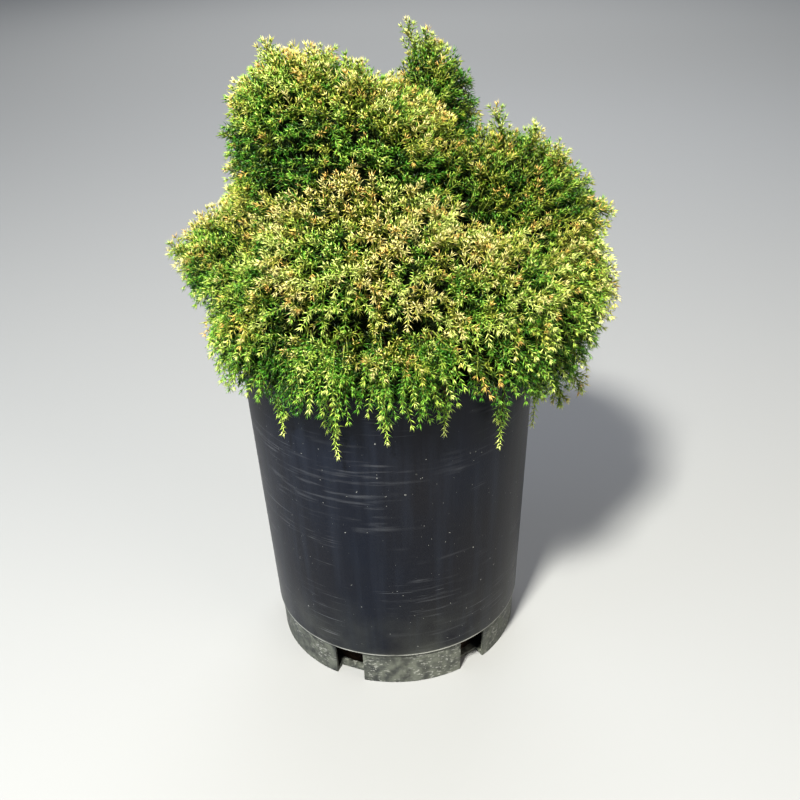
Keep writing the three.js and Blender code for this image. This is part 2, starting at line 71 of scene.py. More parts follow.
# The pot, in millimetres, as its solid has it
POT_HEIGHT = 250.0
POT_TOP_RADIUS = 105.0
STEP_HEIGHT = 28.0
STEP_RADIUS = 95.5
BARE_RADIUS = 98.0
BARE_HEIGHT = 259.0

# Clearance between pieces that touch
GAP = 0.35

# The trunk's line, from its flat cut on the mix to its fork
TRUNK_FOOT = np.array([1.0, 3.0, 229.35])
TRUNK_BEND = np.array([4.0, 4.0, 262.0])
TRUNK_FORK = np.array([-2.0, 1.0, 304.0])
FORK_DROP = 2.0

# The open middle of the crown, where the upper boughs fan out
HEART_CENTRE = np.array([0.0, 6.0, 292.0])
HEART_RADIUS = 34.0

# The part of that middle which foliage leaves quite bare, round the fork
BARE_HEART = 16.0

# The solid's rule for a mass
CORE_SHARE = 0.82
LUMP_DEPTH = 0.05
LUMP_PITCH = 3.6
LUMP_WAVES = 3
STEM_LENGTH = 5.0
LUMP_SEED = 1000
SKIRT_BOUGH = 3.2
SKIRT_ENTRY_OUT = 86.0
SKIRT_ENTRY_HEIGHT = 256.0
SKIRT_BEND_HEIGHT = 255.0
BOUGH_SAG = 3.0
BOUGH_TIP_RADIUS = 2.0
FORK_SEARCH_STEPS = 24
TAIL_OUT = 111.5
TAIL_ROOT_OUT = 115.0


class Look(Enum):
    """The three foliage finishes of the record, by its slot names."""

    GOLD = "foliage_gold"
    GREEN = "foliage_green"
    LIME = "foliage_lime"


class Ramp(Enum):
    """The two runs of needle colours: green where a shoot is sheltered, golden where it has sun."""

    GREEN = 0
    GOLDEN = 1


# The upper and middle crown in millimetres: each mass's centre and radii, the height at which its
# bough leaves the trunk, the bough's radius there, and its finish
CROWN = (
    ("left_dome", (-49, 2, 386), (55, 57, 62), 302, 5.2, Look.GOLD),
    ("centre_ridge", (-4, 4, 361), (58, 57, 58), 304, 4.8, Look.GOLD),
    ("back_spire", (41, 62, 374), (33, 36, 56), 294, 4.4, Look.GREEN),
    ("right_shoulder", (90, 14, 330), (60, 57, 54), 288, 5.0, Look.GOLD),
    ("front_crown", (-14, -64, 322), (64, 56, 54), 286, 4.8, Look.GOLD),
    ("front_left", (-64, -54, 282), (48, 53, 50), 272, 4.4, Look.GREEN),
    ("front_right", (58, -66, 288), (56, 54, 58), 276, 4.4, Look.GOLD),
    ("left_wing", (-102, 2, 303), (45, 47, 36), 280, 4.2, Look.GREEN),
    ("right_flank", (105, -18, 267), (47, 58, 65), 264, 4.6, Look.LIME),
    ("back_left", (-66, 76, 297), (58, 56, 64), 282, 4.6, Look.GREEN),
    ("back_crown", (4, 90, 312), (54, 52, 64), 290, 4.4, Look.GREEN),
    ("back_right", (80, 76, 284), (56, 54, 62), 268, 4.4, Look.LIME),
)

# The masses that hang outside the rim: angle round the pot, distance out, height, radii, and the
# height at which the bough leaves the trunk
SKIRTS = (
    ("skirt_left", 196, 106, 263, (27, 15, 27), 243),
    ("skirt_front_left", 222, 113, 265, (29, 21, 29), 251),
    ("skirt_front", 248, 115, 266, (35, 24, 33), 243),
    ("skirt_front_mid", 275, 115, 267, (35, 24, 33), 251),
    ("skirt_front_right", 312, 116, 256, (38, 24, 40), 243),
    ("skirt_right", 20, 115, 262, (35, 24, 37), 251),
    ("skirt_back_right", 70, 116, 262, (40, 24, 38), 243),
    ("skirt_back_left", 109, 116, 263, (40, 24, 38), 251),
    ("skirt_side_left", 163, 108, 261, (36, 17, 34), 243),
)

# Masses that stand clear of the rest, with no crease filled round them
APART = ("back_spire",)
APART_CLEARANCE = 3.0

# Painted light and shade by mass: masses set paler or darker than the rest, in steps of the needle colours,
# as the light falls more or less on them
PAINTED_MASS_LIGHT = {
    "front_crown": 1.5,
    "front_right": 0.6,
    "right_flank": 0.6,
    "left_dome": -0.65,
    "centre_ridge": -0.2,
    "left_wing": -0.2,
    "front_left": -0.4,
    "right_shoulder": -1.0,
    "back_spire": -1.8,
}

# Longer shoots that set the outline: the mass each grows from, and its tip
LEADERS = (
    ("left_dome", (-28, 0, 443)),
    ("left_dome", (-70, 6, 448)),
    ("centre_ridge", (-10, 2, 435)),
    ("back_spire", (20, 60, 450)),
    ("back_spire", (34, 56, 444)),
    ("back_spire", (6, 60, 412)),
    ("right_shoulder", (75, 4, 404)),
    ("right_shoulder", (103, 0, 392)),
    ("right_shoulder", (121, 0, 376)),
    ("right_shoulder", (160, 0, 328)),
    ("right_flank", (160, -10, 277)),
    ("right_flank", (138, -30, 203)),
    ("right_flank", (120, -42, 199)),
    ("left_wing", (-146, -8, 318)),
)

# Hanging tails: the mass, the angle round the pot, and the heights of the root and of the tip
TAILS = (
    ("skirt_front_left", 232, 250, 213),
    ("skirt_front", 251, 250, 206),
    ("skirt_front_mid", 268, 251, 218),
    ("skirt_front_mid", 287, 258, 220),
    ("skirt_front_right", 309, 243, 196),
    ("right_flank", 331, 243, 194),
    ("skirt_right", 16, 248, 210),
    ("skirt_back_right", 64, 248, 206),
    ("skirt_back_left", 114, 249, 212),
    ("skirt_side_left", 166, 247, 208),
)


def seeded(seed: int) -> Callable[[], float]:
    """The repeatable stream of numbers from 0 to 1 that the solids' rule draws on.

    Args:
        seed: Where the stream starts.

    Returns:
        A function that gives the next number.
    """
    word = 0xFFFFFFFF
    step = 0x6D2B79F5
    state = seed & word

    def draw() -> float:
        """The next number."""
        nonlocal state
        state = (state + step) & word
        mixed = ((state ^ (state >> 15)) * (state | 1)) & word
        mixed ^= (mixed + (((mixed ^ (mixed >> 7)) * (mixed | 61)) & word)) & word
        return (mixed ^ (mixed >> 14)) / (word + 1.0)

    return draw


def unit(vectors: Array) -> Array:
    """Vectors, one a row or a single one, made one long."""
    return vectors / np.maximum(np.linalg.norm(vectors, axis=-1, keepdims=True), TINY)


def polar(angle: float, out: float, height: float) -> Array:
    """A point at an angle round the pot's axis, in degrees from +X."""
    turn = math.radians(angle)
    return np.array([out * math.cos(turn), out * math.sin(turn), height])


def pot_radius(height: Array) -> Array:
    """The pot's outer radius at a height above its step."""
    share = (height - STEP_HEIGHT) / (POT_HEIGHT - STEP_HEIGHT)
    return STEP_RADIUS + (POT_TOP_RADIUS - STEP_RADIUS) * share


def in_pot_space(points: Array, margin: float) -> Array:
    """Tells which points lie in the pot or in the bare space over it.

    Args:
        points: Points in millimetres, one a row or in a stack of rows.
        margin: How far the space is swollen.

    Returns:
        True for each point that is inside.
    """
    out = np.hypot(points[..., 0], points[..., 1]) - margin
    height = points[..., 2]
    share = (height - POT_HEIGHT) / (BARE_HEIGHT - POT_HEIGHT)
    cone = POT_TOP_RADIUS + (BARE_RADIUS - POT_TOP_RADIUS) * share
    low = height < POT_HEIGHT + margin
    under = height < BARE_HEIGHT + margin
    return np.where(low, out < pot_radius(height), under & (out < cone))


def bezier(start: Array, bend: Array, end: Array, share: float) -> Array:
    """A point on a curve with one bend, at a share of its length."""
    rest = 1.0 - share
    return start * rest * rest + bend * 2.0 * rest * share + end * share * share


def sphere_ways(count: int, spin: float) -> Array:
    """Directions spread evenly over a sphere.

    Args:
        count: How many there are.
        spin: A turn about the vertical axis, in radians.

    Returns:
        Unit vectors, one a row.
    """
    order = np.arange(count)
    height = 1.0 - (2.0 * order + 1.0) / count
    out = np.sqrt(1.0 - height * height)
    turn = order * GOLDEN_TURN + spin
    return np.stack([out * np.cos(turn), out * np.sin(turn), height], axis=1)


@dataclass
class Mass:
    """One mass of foliage: its space, its lumpy reach and the line of its bough.

    Everything here repeats the rule that shaped the mass's solid.
    """

    name: str
    index: int
    centre: Array
    radii: Point3
    leaves: float
    bough: float
    look: Look
    turn: float = 0.0
    angle: float | None = None
    spin: float = field(init=False)
    lump_ways: Array = field(init=False)
    lump_phases: Array = field(init=False)
    wall_ways: Array = field(init=False)
    wall_distances: Array = field(init=False)
    apart: list[tuple[int, "Mass"]] = field(init=False, default_factory=list)

    def __post_init__(self) -> None:
        """Draws the turn and the lumps from the mass's own stream."""
        draw = seeded(LUMP_SEED + self.index)
        self.spin = draw() * FULL_TURN
        ways = []
        phases = []
        for _ in range(LUMP_WAVES):
            ways.append([draw() - 0.5, draw() - 0.5, draw() - 0.5])
            phases.append(draw() * FULL_TURN)
        self.lump_ways = unit(np.array(ways)) * LUMP_PITCH
        self.lump_phases = np.array(phases)

    @property
    def hangs(self) -> bool:
        """True for a skirt, which hangs outside the rim."""
        return self.angle is not None

    def shares(self, ways: Array) -> Array:
        """Turns directions to the mass's own axes, each part over the radius on its axis.

        Args:
            ways: Directions, one a row.

        Returns:
            The turned and scaled directions.
        """
        turn = math.radians(self.turn)
        across = ways[..., 0] * math.cos(turn) + ways[..., 1] * math.sin(turn)
        along = ways[..., 1] * math.cos(turn) - ways[..., 0] * math.sin(turn)
        a, b, c = self.radii
        return np.stack([across / a, along / b, ways[..., 2] / c], axis=-1)

    def plain_reach(self, ways: Array) -> Array:
        """The reach of the plain ellipsoid along unit vectors."""
        return 1.0 / np.linalg.norm(self.shares(ways), axis=-1)

    def reach(self, ways: Array) -> Array:
        """How far the needles reach from the centre along unit vectors."""
        swell = np.cos(ways @ self.lump_ways.T + self.lump_phases).sum(axis=-1)
        return self.plain_reach(ways) * (1.0 + LUMP_DEPTH * swell)

    def normals(self, ways: Array) -> Array:
        """The outward normals of the ellipsoid where unit vectors meet it.

        Args:
            ways: Unit vectors from the centre.

        Returns:
            The normals, one a row.
        """
        turn = math.radians(self.turn)
        a, b, c = self.radii
        across, along, rise = np.moveaxis(self.shares(ways) / np.array([a, b, c]), -1, 0)
        x = across * math.cos(turn) - along * math.sin(turn)
        y = across * math.sin(turn) + along * math.cos(turn)
        return unit(np.stack([x, y, rise], axis=-1))

    def share_space(self, masses: list["Mass"]) -> None:
        """Sets the walls that part this mass from its neighbours and from the crown's middle.

        Args:
            masses: Every mass, this one too.
        """
        ways = []
        distances = []
        for other in masses:
            if other is self:
                continue
            if other.name in APART:
                self.apart.append((len(ways), other))
            apart = float(np.linalg.norm(other.centre - self.centre))
            way = (other.centre - self.centre) / apart
            mine = float(self.plain_reach(way))
            theirs = float(other.plain_reach(-way))
            ways.append(way)
            distances.append(apart * mine / (mine + theirs))
        heart_apart = float(np.linalg.norm(HEART_CENTRE - self.centre))
        ways.append((HEART_CENTRE - self.centre) / heart_apart)
        distances.append(heart_apart - HEART_RADIUS)
        self.wall_ways = np.array(ways)
        self.wall_distances = np.array(distances)

    def owns(self, points: Array, overlap: float = 0.0) -> Array:
        """Tells which points are this mass's. A mass that stands apart holds off only what it reaches.

        Args:
            points: Points, in a row or in a stack of rows.
            overlap: How far a point may lie past a wall.

        Returns:
            True for points on this mass's side of its neighbours.
        """
        past = (points - self.centre) @ self.wall_ways[:-1].T - self.wall_distances[:-1]
        for number, other in self.apart:
            offset = points - other.centre
            clear = np.linalg.norm(offset, axis=-1) > other.reach(unit(offset)) + APART_CLEARANCE
            past[..., number] = np.where(clear, -1.0, past[..., number])
        return (past < overlap).all(axis=-1)

    def room(self, ways: Array) -> Array:
        """How far rays from the centre run before they meet a wall."""
        toward = ways @ self.wall_ways.T
        limits = (self.wall_distances - GAP) / np.maximum(toward, LEVEL)
        return np.where(toward > LEVEL, limits, np.inf).min(axis=-1)

    def needle_room(self, ways: Array) -> Array:
        """How far rays from the centre run before they meet a neighbour or the crown's middle.

        Args:
            ways: The rays' unit vectors.

        Returns:
            The length of each ray.
        """
        toward = ways @ self.wall_ways[:-1].T
        limits = np.where(toward > LEVEL, self.wall_distances[:-1] / np.maximum(toward, LEVEL), np.inf)
        offset = HEART_CENTRE - self.centre
        along = ways @ offset
        gap = along * along - offset @ offset + BARE_HEART * BARE_HEART
        heart = np.where((gap > 0.0) & (along > 0.0), along - np.sqrt(np.maximum(gap, 0.0)), np.inf)
        return np.minimum(limits.min(axis=-1), np.maximum(heart, 1.0))

    def core_radius(self, ways: Array) -> Array:
        """The radius of the solid's dense core along unit vectors."""
        return np.minimum(self.reach(ways) * CORE_SHARE, self.room(ways))

    @property
    def inward(self) -> Array:
        """The direction from the mass's centre to where its bough comes in."""
        target = HEART_CENTRE
        if self.hangs:
            target = polar(self.angle, SKIRT_ENTRY_OUT, SKIRT_ENTRY_HEIGHT)
        return unit(target - self.centre)

    @property
    def entry(self) -> Array:
        """The tip of the bough, where the mass's own stem takes over."""
        if self.hangs:
            return polar(self.angle, SKIRT_ENTRY_OUT, SKIRT_ENTRY_HEIGHT)
        return self.centre + self.inward * (float(self.core_radius(self.inward)) + STEM_LENGTH)

    def bough_curve(self) -> tuple[Array, Array, Array]:
        """Runs the bough from the trunk's middle line to its tip.

        Returns:
            Its start, its bend and its end.
        """
        height = min(self.leaves, TRUNK_FORK[2] - FORK_DROP)
        low = 0.0
        high = 1.0
        for _ in range(FORK_SEARCH_STEPS):
            middle = (low + high) / 2.0
            if bezier(TRUNK_FOOT, TRUNK_BEND, TRUNK_FORK, middle)[2] < height:
                low = middle
            else:
                high = middle
        start = bezier(TRUNK_FOOT, TRUNK_BEND, TRUNK_FORK, low)
        bend = (start + self.entry) / 2.0
        bend[2] = SKIRT_BEND_HEIGHT if self.hangs else bend[2] - BOUGH_SAG
        return start, bend, self.entry


def plan_masses() -> list[Mass]:
    """Lays out every mass of the crown and its skirts, with the walls between them.

    Returns:
        The masses, the crown's first.
    """
    masses = []
    for name, at, radii, leaves, bough, look in CROWN:
        masses.append(Mass(name, len(masses), np.array(at, dtype=float), radii, leaves, bough, look))
    for name, angle, out, height, radii, leaves in SKIRTS:
        centre = polar(angle, out, height)
        turn = angle - 90.0
        masses.append(Mass(name, len(masses), centre, radii, leaves, SKIRT_BOUGH, Look.LIME, turn, angle))
    for mass in masses:
        mass.share_space(masses)
    return masses


@dataclass
class CrownField:
    """The crown's outer surface, where neighbouring masses run softly into each other.

    Softness is how far the creases are filled, and a hanging mass takes a share of it. The search
    for the surface covers a part of the reach. Lengths are in millimetres.
    """

    masses: list[Mass]
    softness: float
    skirt_share: float = 0.6
    near_gap: float = 20.0
    far_limit: float = 60.0
    search_low: float = 0.2
    search_high: float = 1.4
    search_steps: int = 10
    neighbours: dict[str, list[Mass]] = field(init=False, default_factory=dict)

    def __post_init__(self) -> None:
        """Lists the neighbours that each mass runs into."""
        for mass in self.masses:
            near = []
            for other in self.masses:
                alone = other is not mass and (mass.name in APART or other.name in APART)
                apart = np.linalg.norm(other.centre - mass.centre)
                if not alone and apart < max(mass.radii) + max(other.radii) + self.near_gap:
                    near.append(other)
            self.neighbours[mass.name] = near

    def sample(self, mass: Mass, points: Array) -> tuple[Array, Array]:
        """Measures points near one mass against the blended surface.

        Args:
            mass: The mass that they are near.
            points: The points, one a row.

        Returns:
            How far each point lies outside the surface, below zero inside it, and the normals.
        """
        total = np.zeros(len(points))
        normal = np.zeros((len(points), 3))
        softness = self.softness * (self.skirt_share if mass.hangs else 1.0)
        for other in self.neighbours[mass.name]:
            offset = points - other.centre
            ways = unit(offset)
            distance = np.linalg.norm(offset, axis=1) - other.reach(ways)
            weight = np.exp(-np.clip(distance, -self.far_limit, self.far_limit) / softness)
            total += weight
            normal += other.normals(ways) * weight[:, None]
        return -softness * np.log(np.maximum(total, TINY)), unit(normal)

    def radius(self, mass: Mass, ways: Array, depth: float) -> Array:
        """How far rays from a mass's centre run to a level under the surface.

        Args:
            mass: The mass.
            ways: The rays' unit vectors.
            depth: How far the level lies under the surface.

        Returns:
            The distance along each ray.
        """
        reach = mass.reach(ways)
        low = reach * self.search_low
        high = reach * self.search_high
        for _ in range(self.search_steps):
            middle = (low + high) / 2.0
            outside, _ = self.sample(mass, mass.centre + ways * middle[:, None])
            low = np.where(outside < -depth, middle, low)
            high = np.where(outside < -depth, high, middle)
        return low


def linear(code: int) -> tuple[float, float, float, float]:
    """Turns a display colour into the linear colour that a shader takes.

    Args:
        code: The colour, as 0xRRGGBB.

    Returns:
        Red, green, blue and a full alpha.
    """
    channels = []
    for shift in (16, 8, 0):
        value = ((code >> shift) & 255) / 255.0
        channels.append(value / 12.92 if value <= 0.04045 else ((value + 0.055) / 1.055) ** 2.4)
    return (*channels, 1.0)


@dataclass
class Board:
    """Places and links the nodes of one material or node group."""

    tree: Tree

    def __post_init__(self) -> None:
        """Starts on an empty tree."""
        self.tree.nodes.clear()

    def add(self, kind: str, **settings: object) -> Node:
        """Adds a node.

        Args:
            kind: The node's type.
            **settings: Values set on the node itself.

        Returns:
            The node.
        """
        node = self.tree.nodes.new(kind)
        for name, value in settings.items():
            setattr(node, name, value)
        return node

    def give(self, target: Socket, given: object) -> None:
        """Links an input to a node's output, or sets it.

        Args:
            target: The input.
            given: An output, a number or a colour.
        """
        if isinstance(given, Socket):
            self.tree.links.new(given, target)
        else:
            target.default_value = given

    def wire(self, node: Node, **sources: object) -> Node:
        """Sets or links a node's inputs.

        Args:
            node: The node.
            **sources: What each input takes, with an underscore for each blank in its name.

        Returns:
            The same node.
        """
        for name, source in sources.items():
            self.give(node.inputs[name.replace("_", " ")], source)
        return node

    def value(self, kind: str, first: object, second: object) -> Socket:
        """Adds a Math node.

        Args:
            kind: The operation.
            first: A socket or a number.
            second: A socket or a number.

        Returns:
            The node's output.
        """
        node = self.add("ShaderNodeMath", operation=kind)
        self.give(node.inputs[0], first)
        self.give(node.inputs[1], second)
        return node.outputs[0]

    def times(self, first: object, second: object) -> Socket:
        """The product of two sockets or numbers."""
        return self.value("MULTIPLY", first, second)

    def scaled(self, mask: Socket, size: float, start: object) -> Socket:
        """A mask times a size, on top of a start value or another socket."""
        return self.value("ADD", self.times(mask, size), start)

    def blend(self, share: Socket, low: object, high: object) -> Socket:
        """Adds a colour mix.

        Args:
            share: How far it goes from the first colour to the second.
            low: The first colour, as a socket or as four numbers.
            high: The second colour.

        Returns:
            The mixed colour.
        """
        node = self.add("ShaderNodeMix", data_type="RGBA")
        self.give(node.inputs["Factor"], share)
        sockets = [socket for socket in node.inputs if socket.type == "RGBA"]
        self.give(sockets[0], low)
        self.give(sockets[1], high)
        return next(socket for socket in node.outputs if socket.type == "RGBA")


def mask_group(
    name: str, inputs: dict[str, float], fill: Callable[[Board, Node, Node], Socket]
) -> Tree:
    """Makes a shader node group that puts out one mask, or finds it where it is made already.

    Args:
        name: The group's name.
        inputs: Each number input's name and its default value.
        fill: Places the nodes and gives the mask, from the board, the inlet and the node that
            parts the object's own coordinates.

    Returns:
        The group.
    """
    known = bpy.data.node_groups.get(name)
    if known:
        return known
    board = Board(bpy.data.node_groups.new(name, "ShaderNodeTree"))
    sockets = board.tree.interface
    for label, default in inputs.items():
        socket = sockets.new_socket(label, in_out="INPUT", socket_type="NodeSocketFloat")
        socket.default_value = default
    sockets.new_socket("Mask", in_out="OUTPUT", socket_type="NodeSocketFloat")
    inlet = board.add("NodeGroupInput")
    outlet = board.add("NodeGroupOutput")
    place = board.add("ShaderNodeTexCoord")
    split = board.add("ShaderNodeSeparateXYZ")
    board.give(split.inputs[0], place.outputs["Object"])
    board.give(outlet.inputs["Mask"], fill(board, inlet, split))
    return board.tree


def fill_grain(board: Board, inlet: Node, split: Node) -> Socket:
    """Fills the shared grain: soft noise in the object's own space, stretched along height.

    Args:
        board: The group's board.
        inlet: Its inputs: a scale, a stretch, and the two levels that the mask runs between.
        split: The object's own coordinates.

    Returns:
        The mask.
    """
    join = board.add("ShaderNodeCombineXYZ")
    stretched = board.times(split.outputs["Z"], inlet.outputs["Height Stretch"])
    board.wire(join, X=split.outputs["X"], Y=split.outputs["Y"], Z=stretched)
    texture = board.add("ShaderNodeTexNoise")
    board.wire(texture, Detail=4.0, Vector=join.outputs[0], Scale=inlet.outputs["Scale"])
    ramp = board.add("ShaderNodeMapRange")
    low = inlet.outputs["Low"]
    board.wire(ramp, Value=texture.outputs["Fac"], From_Min=low, From_Max=inlet.outputs["High"])
    return ramp.outputs["Result"]


def fill_level(board: Board, inlet: Node, split: Node) -> Socket:
    """Fills the shared height mask: full at one level, fading to nothing at another.

    Args:
        board: The group's board.
        inlet: Its inputs, the two levels in metres.
        split: The object's own coordinates.

    Returns:
        The mask.
    """
    ramp = board.add("ShaderNodeMapRange")
    full = inlet.outputs["Full At"]
    board.wire(ramp, Value=split.outputs["Z"], From_Min=full, From_Max=inlet.outputs["None At"])
    board.wire(ramp, To_Min=1.0, To_Max=0.0)
    return ramp.outputs["Result"]


@dataclass(frozen=True)
class Grain:
    """One setting of the shared grain: its scale, the levels it runs between, and its stretch."""

    scale: float
    low: float
    high: float
    stretch: float = 1.0


@dataclass
class Surface:
    """A material under way: a Principled shader with its constants set, ready for patterns."""

    name: str
    roughness: float
    specular: float
    base: Socket | None = None

    def __post_init__(self) -> None:
        """Starts the material."""
        self.material = bpy.data.materials.new(self.name)
        self.material.use_nodes = True
        self.board = Board(self.material.node_tree)
        output = self.board.add("ShaderNodeOutputMaterial")
        self.shader = self.board.add("ShaderNodeBsdfPrincipled")
        self.board.give(output.inputs["Surface"], self.shader.outputs[0])
        self.feed("Roughness", self.roughness)
        self.feed("Specular IOR Level", self.specular)

    def place(self, group: Tree, **values: float) -> Socket:
        """Places a shared group with its inputs set, and gives its mask."""
        node = self.board.add("ShaderNodeGroup", node_tree=group)
        return self.board.wire(node, **values).outputs["Mask"]

    def grain(self, grain: Grain) -> Socket:
        """Places the shared grain, and gives its mask."""
        inputs = {"Scale": 100.0, "Height Stretch": 1.0, "Low": 0.4, "High": 0.6}
        group = mask_group("surface grain", inputs, fill_grain)
        return self.place(
            group, Scale=grain.scale, Height_Stretch=grain.stretch, Low=grain.low, High=grain.high
        )

    def level(self, levels: Pair) -> Socket:
        """Places the shared height mask, full at the first level and gone at the second."""
        group = mask_group("height mask", {"Full At": 0.0, "None At": 0.1}, fill_level)
        return self.place(group, Full_At=levels[0], None_At=levels[1])

    def feed(self, name: str, source: object) -> None:
        """Sets one of the shader's inputs to a socket or a value."""
        self.board.give(self.shader.inputs[name], source)

    def coat(self, mask: Socket, code: int, share: float = 1.0) -> None:
        """Lays a colour over the base colour.

        Args:
            mask: Where it lies.
            code: The colour, as 0xRRGGBB.
            share: How much of it shows where the mask is full.
        """
        if share < 1.0:
            mask = self.board.times(mask, share)
        self.base = self.board.blend(mask, self.base, linear(code))

    def relief(self, height: Socket, depth: float) -> None:
        """Raises the surface.

        Args:
            height: The mask of what is raised.
            depth: How far, in metres.
        """
        bump = self.board.add("ShaderNodeBump")
        self.board.wire(bump, Strength=1.0, Distance=depth, Height=height)
        self.feed("Normal", bump.outputs[0])


@dataclass(frozen=True)
class PlainFinish:
    """One even colour, for needles and other small things that are dealt out by spray."""

    name: str
    code: int
    roughness: float = 0.36
    specular: float = 0.5

    def build(self) -> Material:
        """Makes the material."""
        surface = Surface(self.name, self.roughness, self.specular)
        surface.feed("Base Color", linear(self.code))
        return surface.material


@dataclass(frozen=True)
class MottledFinish:
    """A rough natural surface in two colours, with grain relief: bark, mix, and the old foliage in the
    crown's core, which is painted near-black as shade.
    """

    name: str
    dark: int
    pale: int
    scale: float
    stretch: float
    depth: float
    roughness: float = 0.95
    specular: float = 0.2
    levels: Pair = (0.35, 0.65)
    fineness: float = 2.5
    fine_levels: Pair = (0.3, 0.7)

    def build(self) -> Material:
        """Makes the material: the mottle, and a finer grain that is raised."""
        surface = Surface(self.name, self.roughness, self.specular)
        mottle = surface.grain(Grain(self.scale, *self.levels, self.stretch))
        surface.feed("Base Color", surface.board.blend(mottle, linear(self.dark), linear(self.pale)))
        raised = surface.grain(Grain(self.scale * self.fineness, *self.fine_levels, self.stretch))
        surface.relief(raised, self.depth)
        return surface.material


@dataclass(frozen=True)
class NurseryPlastic:
    """Black nursery plastic: satin with painted sheen streaks along its mould lines, scuffed round its upper
    wall, dusty and worn at its foot.
    """

    name: str = "nursery plastic"
    roughness: float = 0.36
    specular: float = 0.3
    cool: int = 0x0B1220
    warm: int = 0x131318
    sheen: int = 0x232935
    scuff: int = 0x777A80
    dust: int = 0x70746C
    worn: int = 0xA6A8A4
    clouds: Grain = Grain(9.0, 0.35, 0.65, 0.5)
    draw_lines: Grain = Grain(130.0, 0.45, 0.7, 0.06)
    rubs: Grain = Grain(26.0, 0.55, 0.72, 12.0)
    rub_patches: Grain = Grain(11.0, 0.5, 0.62)
    hairs: Grain = Grain(17.0, 0.62, 0.66, 55.0)
    hair_patches: Grain = Grain(19.0, 0.52, 0.6)
    specks: Grain = Grain(420.0, 0.715, 0.74)
    film: Grain = Grain(30.0, 0.35, 0.7)
    powder: Grain = Grain(150.0, 0.38, 0.62)
    flakes: Grain = Grain(330.0, 0.55, 0.64, 1.8)
    flake_patches: Grain = Grain(60.0, 0.4, 0.6)
    wear: Grain = Grain(55.0, 0.3, 0.6)
    pits: Grain = Grain(900.0, 0.3, 0.7)
    pit_depth: float = 0.00004
    film_levels: Pair = (0.028, 0.085)
    foot_levels: Pair = (0.026, 0.031)
    edge_top: Pair = (0.0293, 0.0298)
    edge_bottom: Pair = (0.0274, 0.0279)
    line_share: float = 0.35
    rub_share: float = 0.22
    hair_share: float = 0.3
    speck_share: float = 0.6
    film_share: float = 0.22
    flake_share: float = 0.6
    least_powder: float = 0.2
    more_powder: float = 0.5
    least_wear: float = 0.25
    more_wear: float = 0.6
    cloud_roughness: float = 0.08
    rub_roughness: float = 0.15
    dust_roughness: float = 0.5

    def build(self) -> Material:
        """Makes the material, from the plastic itself to the worn line on the step's edge."""
        surface = Surface(self.name, self.roughness, self.specular)
        board = surface.board
        cloud = surface.grain(self.clouds)
        surface.base = board.blend(cloud, linear(self.cool), linear(self.warm))
        # Faint upright mould lines, painted lighter and bluer as a sheen: a painted reflection
        surface.coat(surface.grain(self.draw_lines), self.sheen, self.line_share)
        patches = surface.grain(self.rub_patches)
        rubbed = board.times(surface.grain(self.rubs), patches)
        surface.coat(rubbed, self.scuff, self.rub_share)
        scratched = board.times(surface.grain(self.hairs), surface.grain(self.hair_patches))
        surface.coat(scratched, self.scuff, self.hair_share)
        surface.coat(surface.grain(self.specks), self.worn, self.speck_share)
        hazy = board.times(surface.level(self.film_levels), surface.grain(self.film))
        surface.coat(hazy, self.dust, self.film_share)
        foot = surface.level(self.foot_levels)
        powdered = board.scaled(surface.grain(self.powder), self.more_powder, self.least_powder)
        dusty = board.times(foot, powdered)
        surface.coat(dusty, self.dust)
        flaked = board.times(surface.grain(self.flakes), surface.grain(self.flake_patches))
        surface.coat(board.times(flaked, foot), self.worn, self.flake_share)
        edge = board.value("SUBTRACT", surface.level(self.edge_top), surface.level(self.edge_bottom))
        worn = board.scaled(surface.grain(self.wear), self.more_wear, self.least_wear)
        surface.coat(board.times(edge, worn), self.worn)
        surface.feed("Base Color", surface.base)
        roughness = board.scaled(cloud, self.cloud_roughness, self.roughness)
        roughness = board.scaled(rubbed, self.rub_roughness, roughness)
        surface.feed("Roughness", board.scaled(dusty, self.dust_roughness, roughness))
        surface.relief(surface.grain(self.pits), self.pit_depth)
        return surface.material


# Needle colours of each ramp, from the oldest needles in deep shade to the youngest at the tips
NEEDLE_FINISHES = {
    Ramp.GREEN: (
        PlainFinish("shaded green needles", 0x16300C),
        PlainFinish("deep green needles", 0x2A5018),
        PlainFinish("green needles", 0x457E22),
        PlainFinish("fresh green needles", 0x78A63E),
        PlainFinish("lime needles", 0xA8C256),
        PlainFinish("pale lime needles", 0xD0DC84),
    ),
    Ramp.GOLDEN: (
        PlainFinish("shaded olive needles", 0x1F320C),
        PlainFinish("deep olive needles", 0x405818),
        PlainFinish("olive needles", 0x6C8A26),
        PlainFinish("old gold needles", 0xA0AA46),
        PlainFinish("golden needles", 0xC8C466),
        PlainFinish("straw needles", 0xE2DA96),
    ),
}
TINTS = len(NEEDLE_FINISHES[Ramp.GREEN])
BUD_FINISH = PlainFinish("tan buds", 0xD6B468)
GREEN_SHOOT = PlainFinish("green shoots", 0x7C8A3A, roughness=0.6)
BROWN_TWIG = PlainFinish("brown twigs", 0x3E3222, roughness=0.9)
BARK = MottledFinish("bark", 0x3A2A1E, 0x6B4E36, scale=260.0, stretch=0.25, depth=0.0006)
# The core inside each mass: old foliage, painted near-black as the shade deep in the crown
OLD_FOLIAGE_SHADE = MottledFinish("old foliage", 0x101A0A, 0x20300F, scale=220.0, stretch=1.0, depth=0.002)
POTTING_MIX = MottledFinish("potting mix", 0x1C1410, 0x3B2C20, scale=180.0, stretch=1.0, depth=0.001)
CHIP_FINISHES = (
    PlainFinish("dark bark chips", 0x2E2018, roughness=0.9),
    PlainFinish("red bark chips", 0x56382A, roughness=0.9),
    PlainFinish("pale bark chips", 0x7A6048, roughness=0.9),
    PlainFinish("perlite", 0xCFCCC2, roughness=0.8),
)


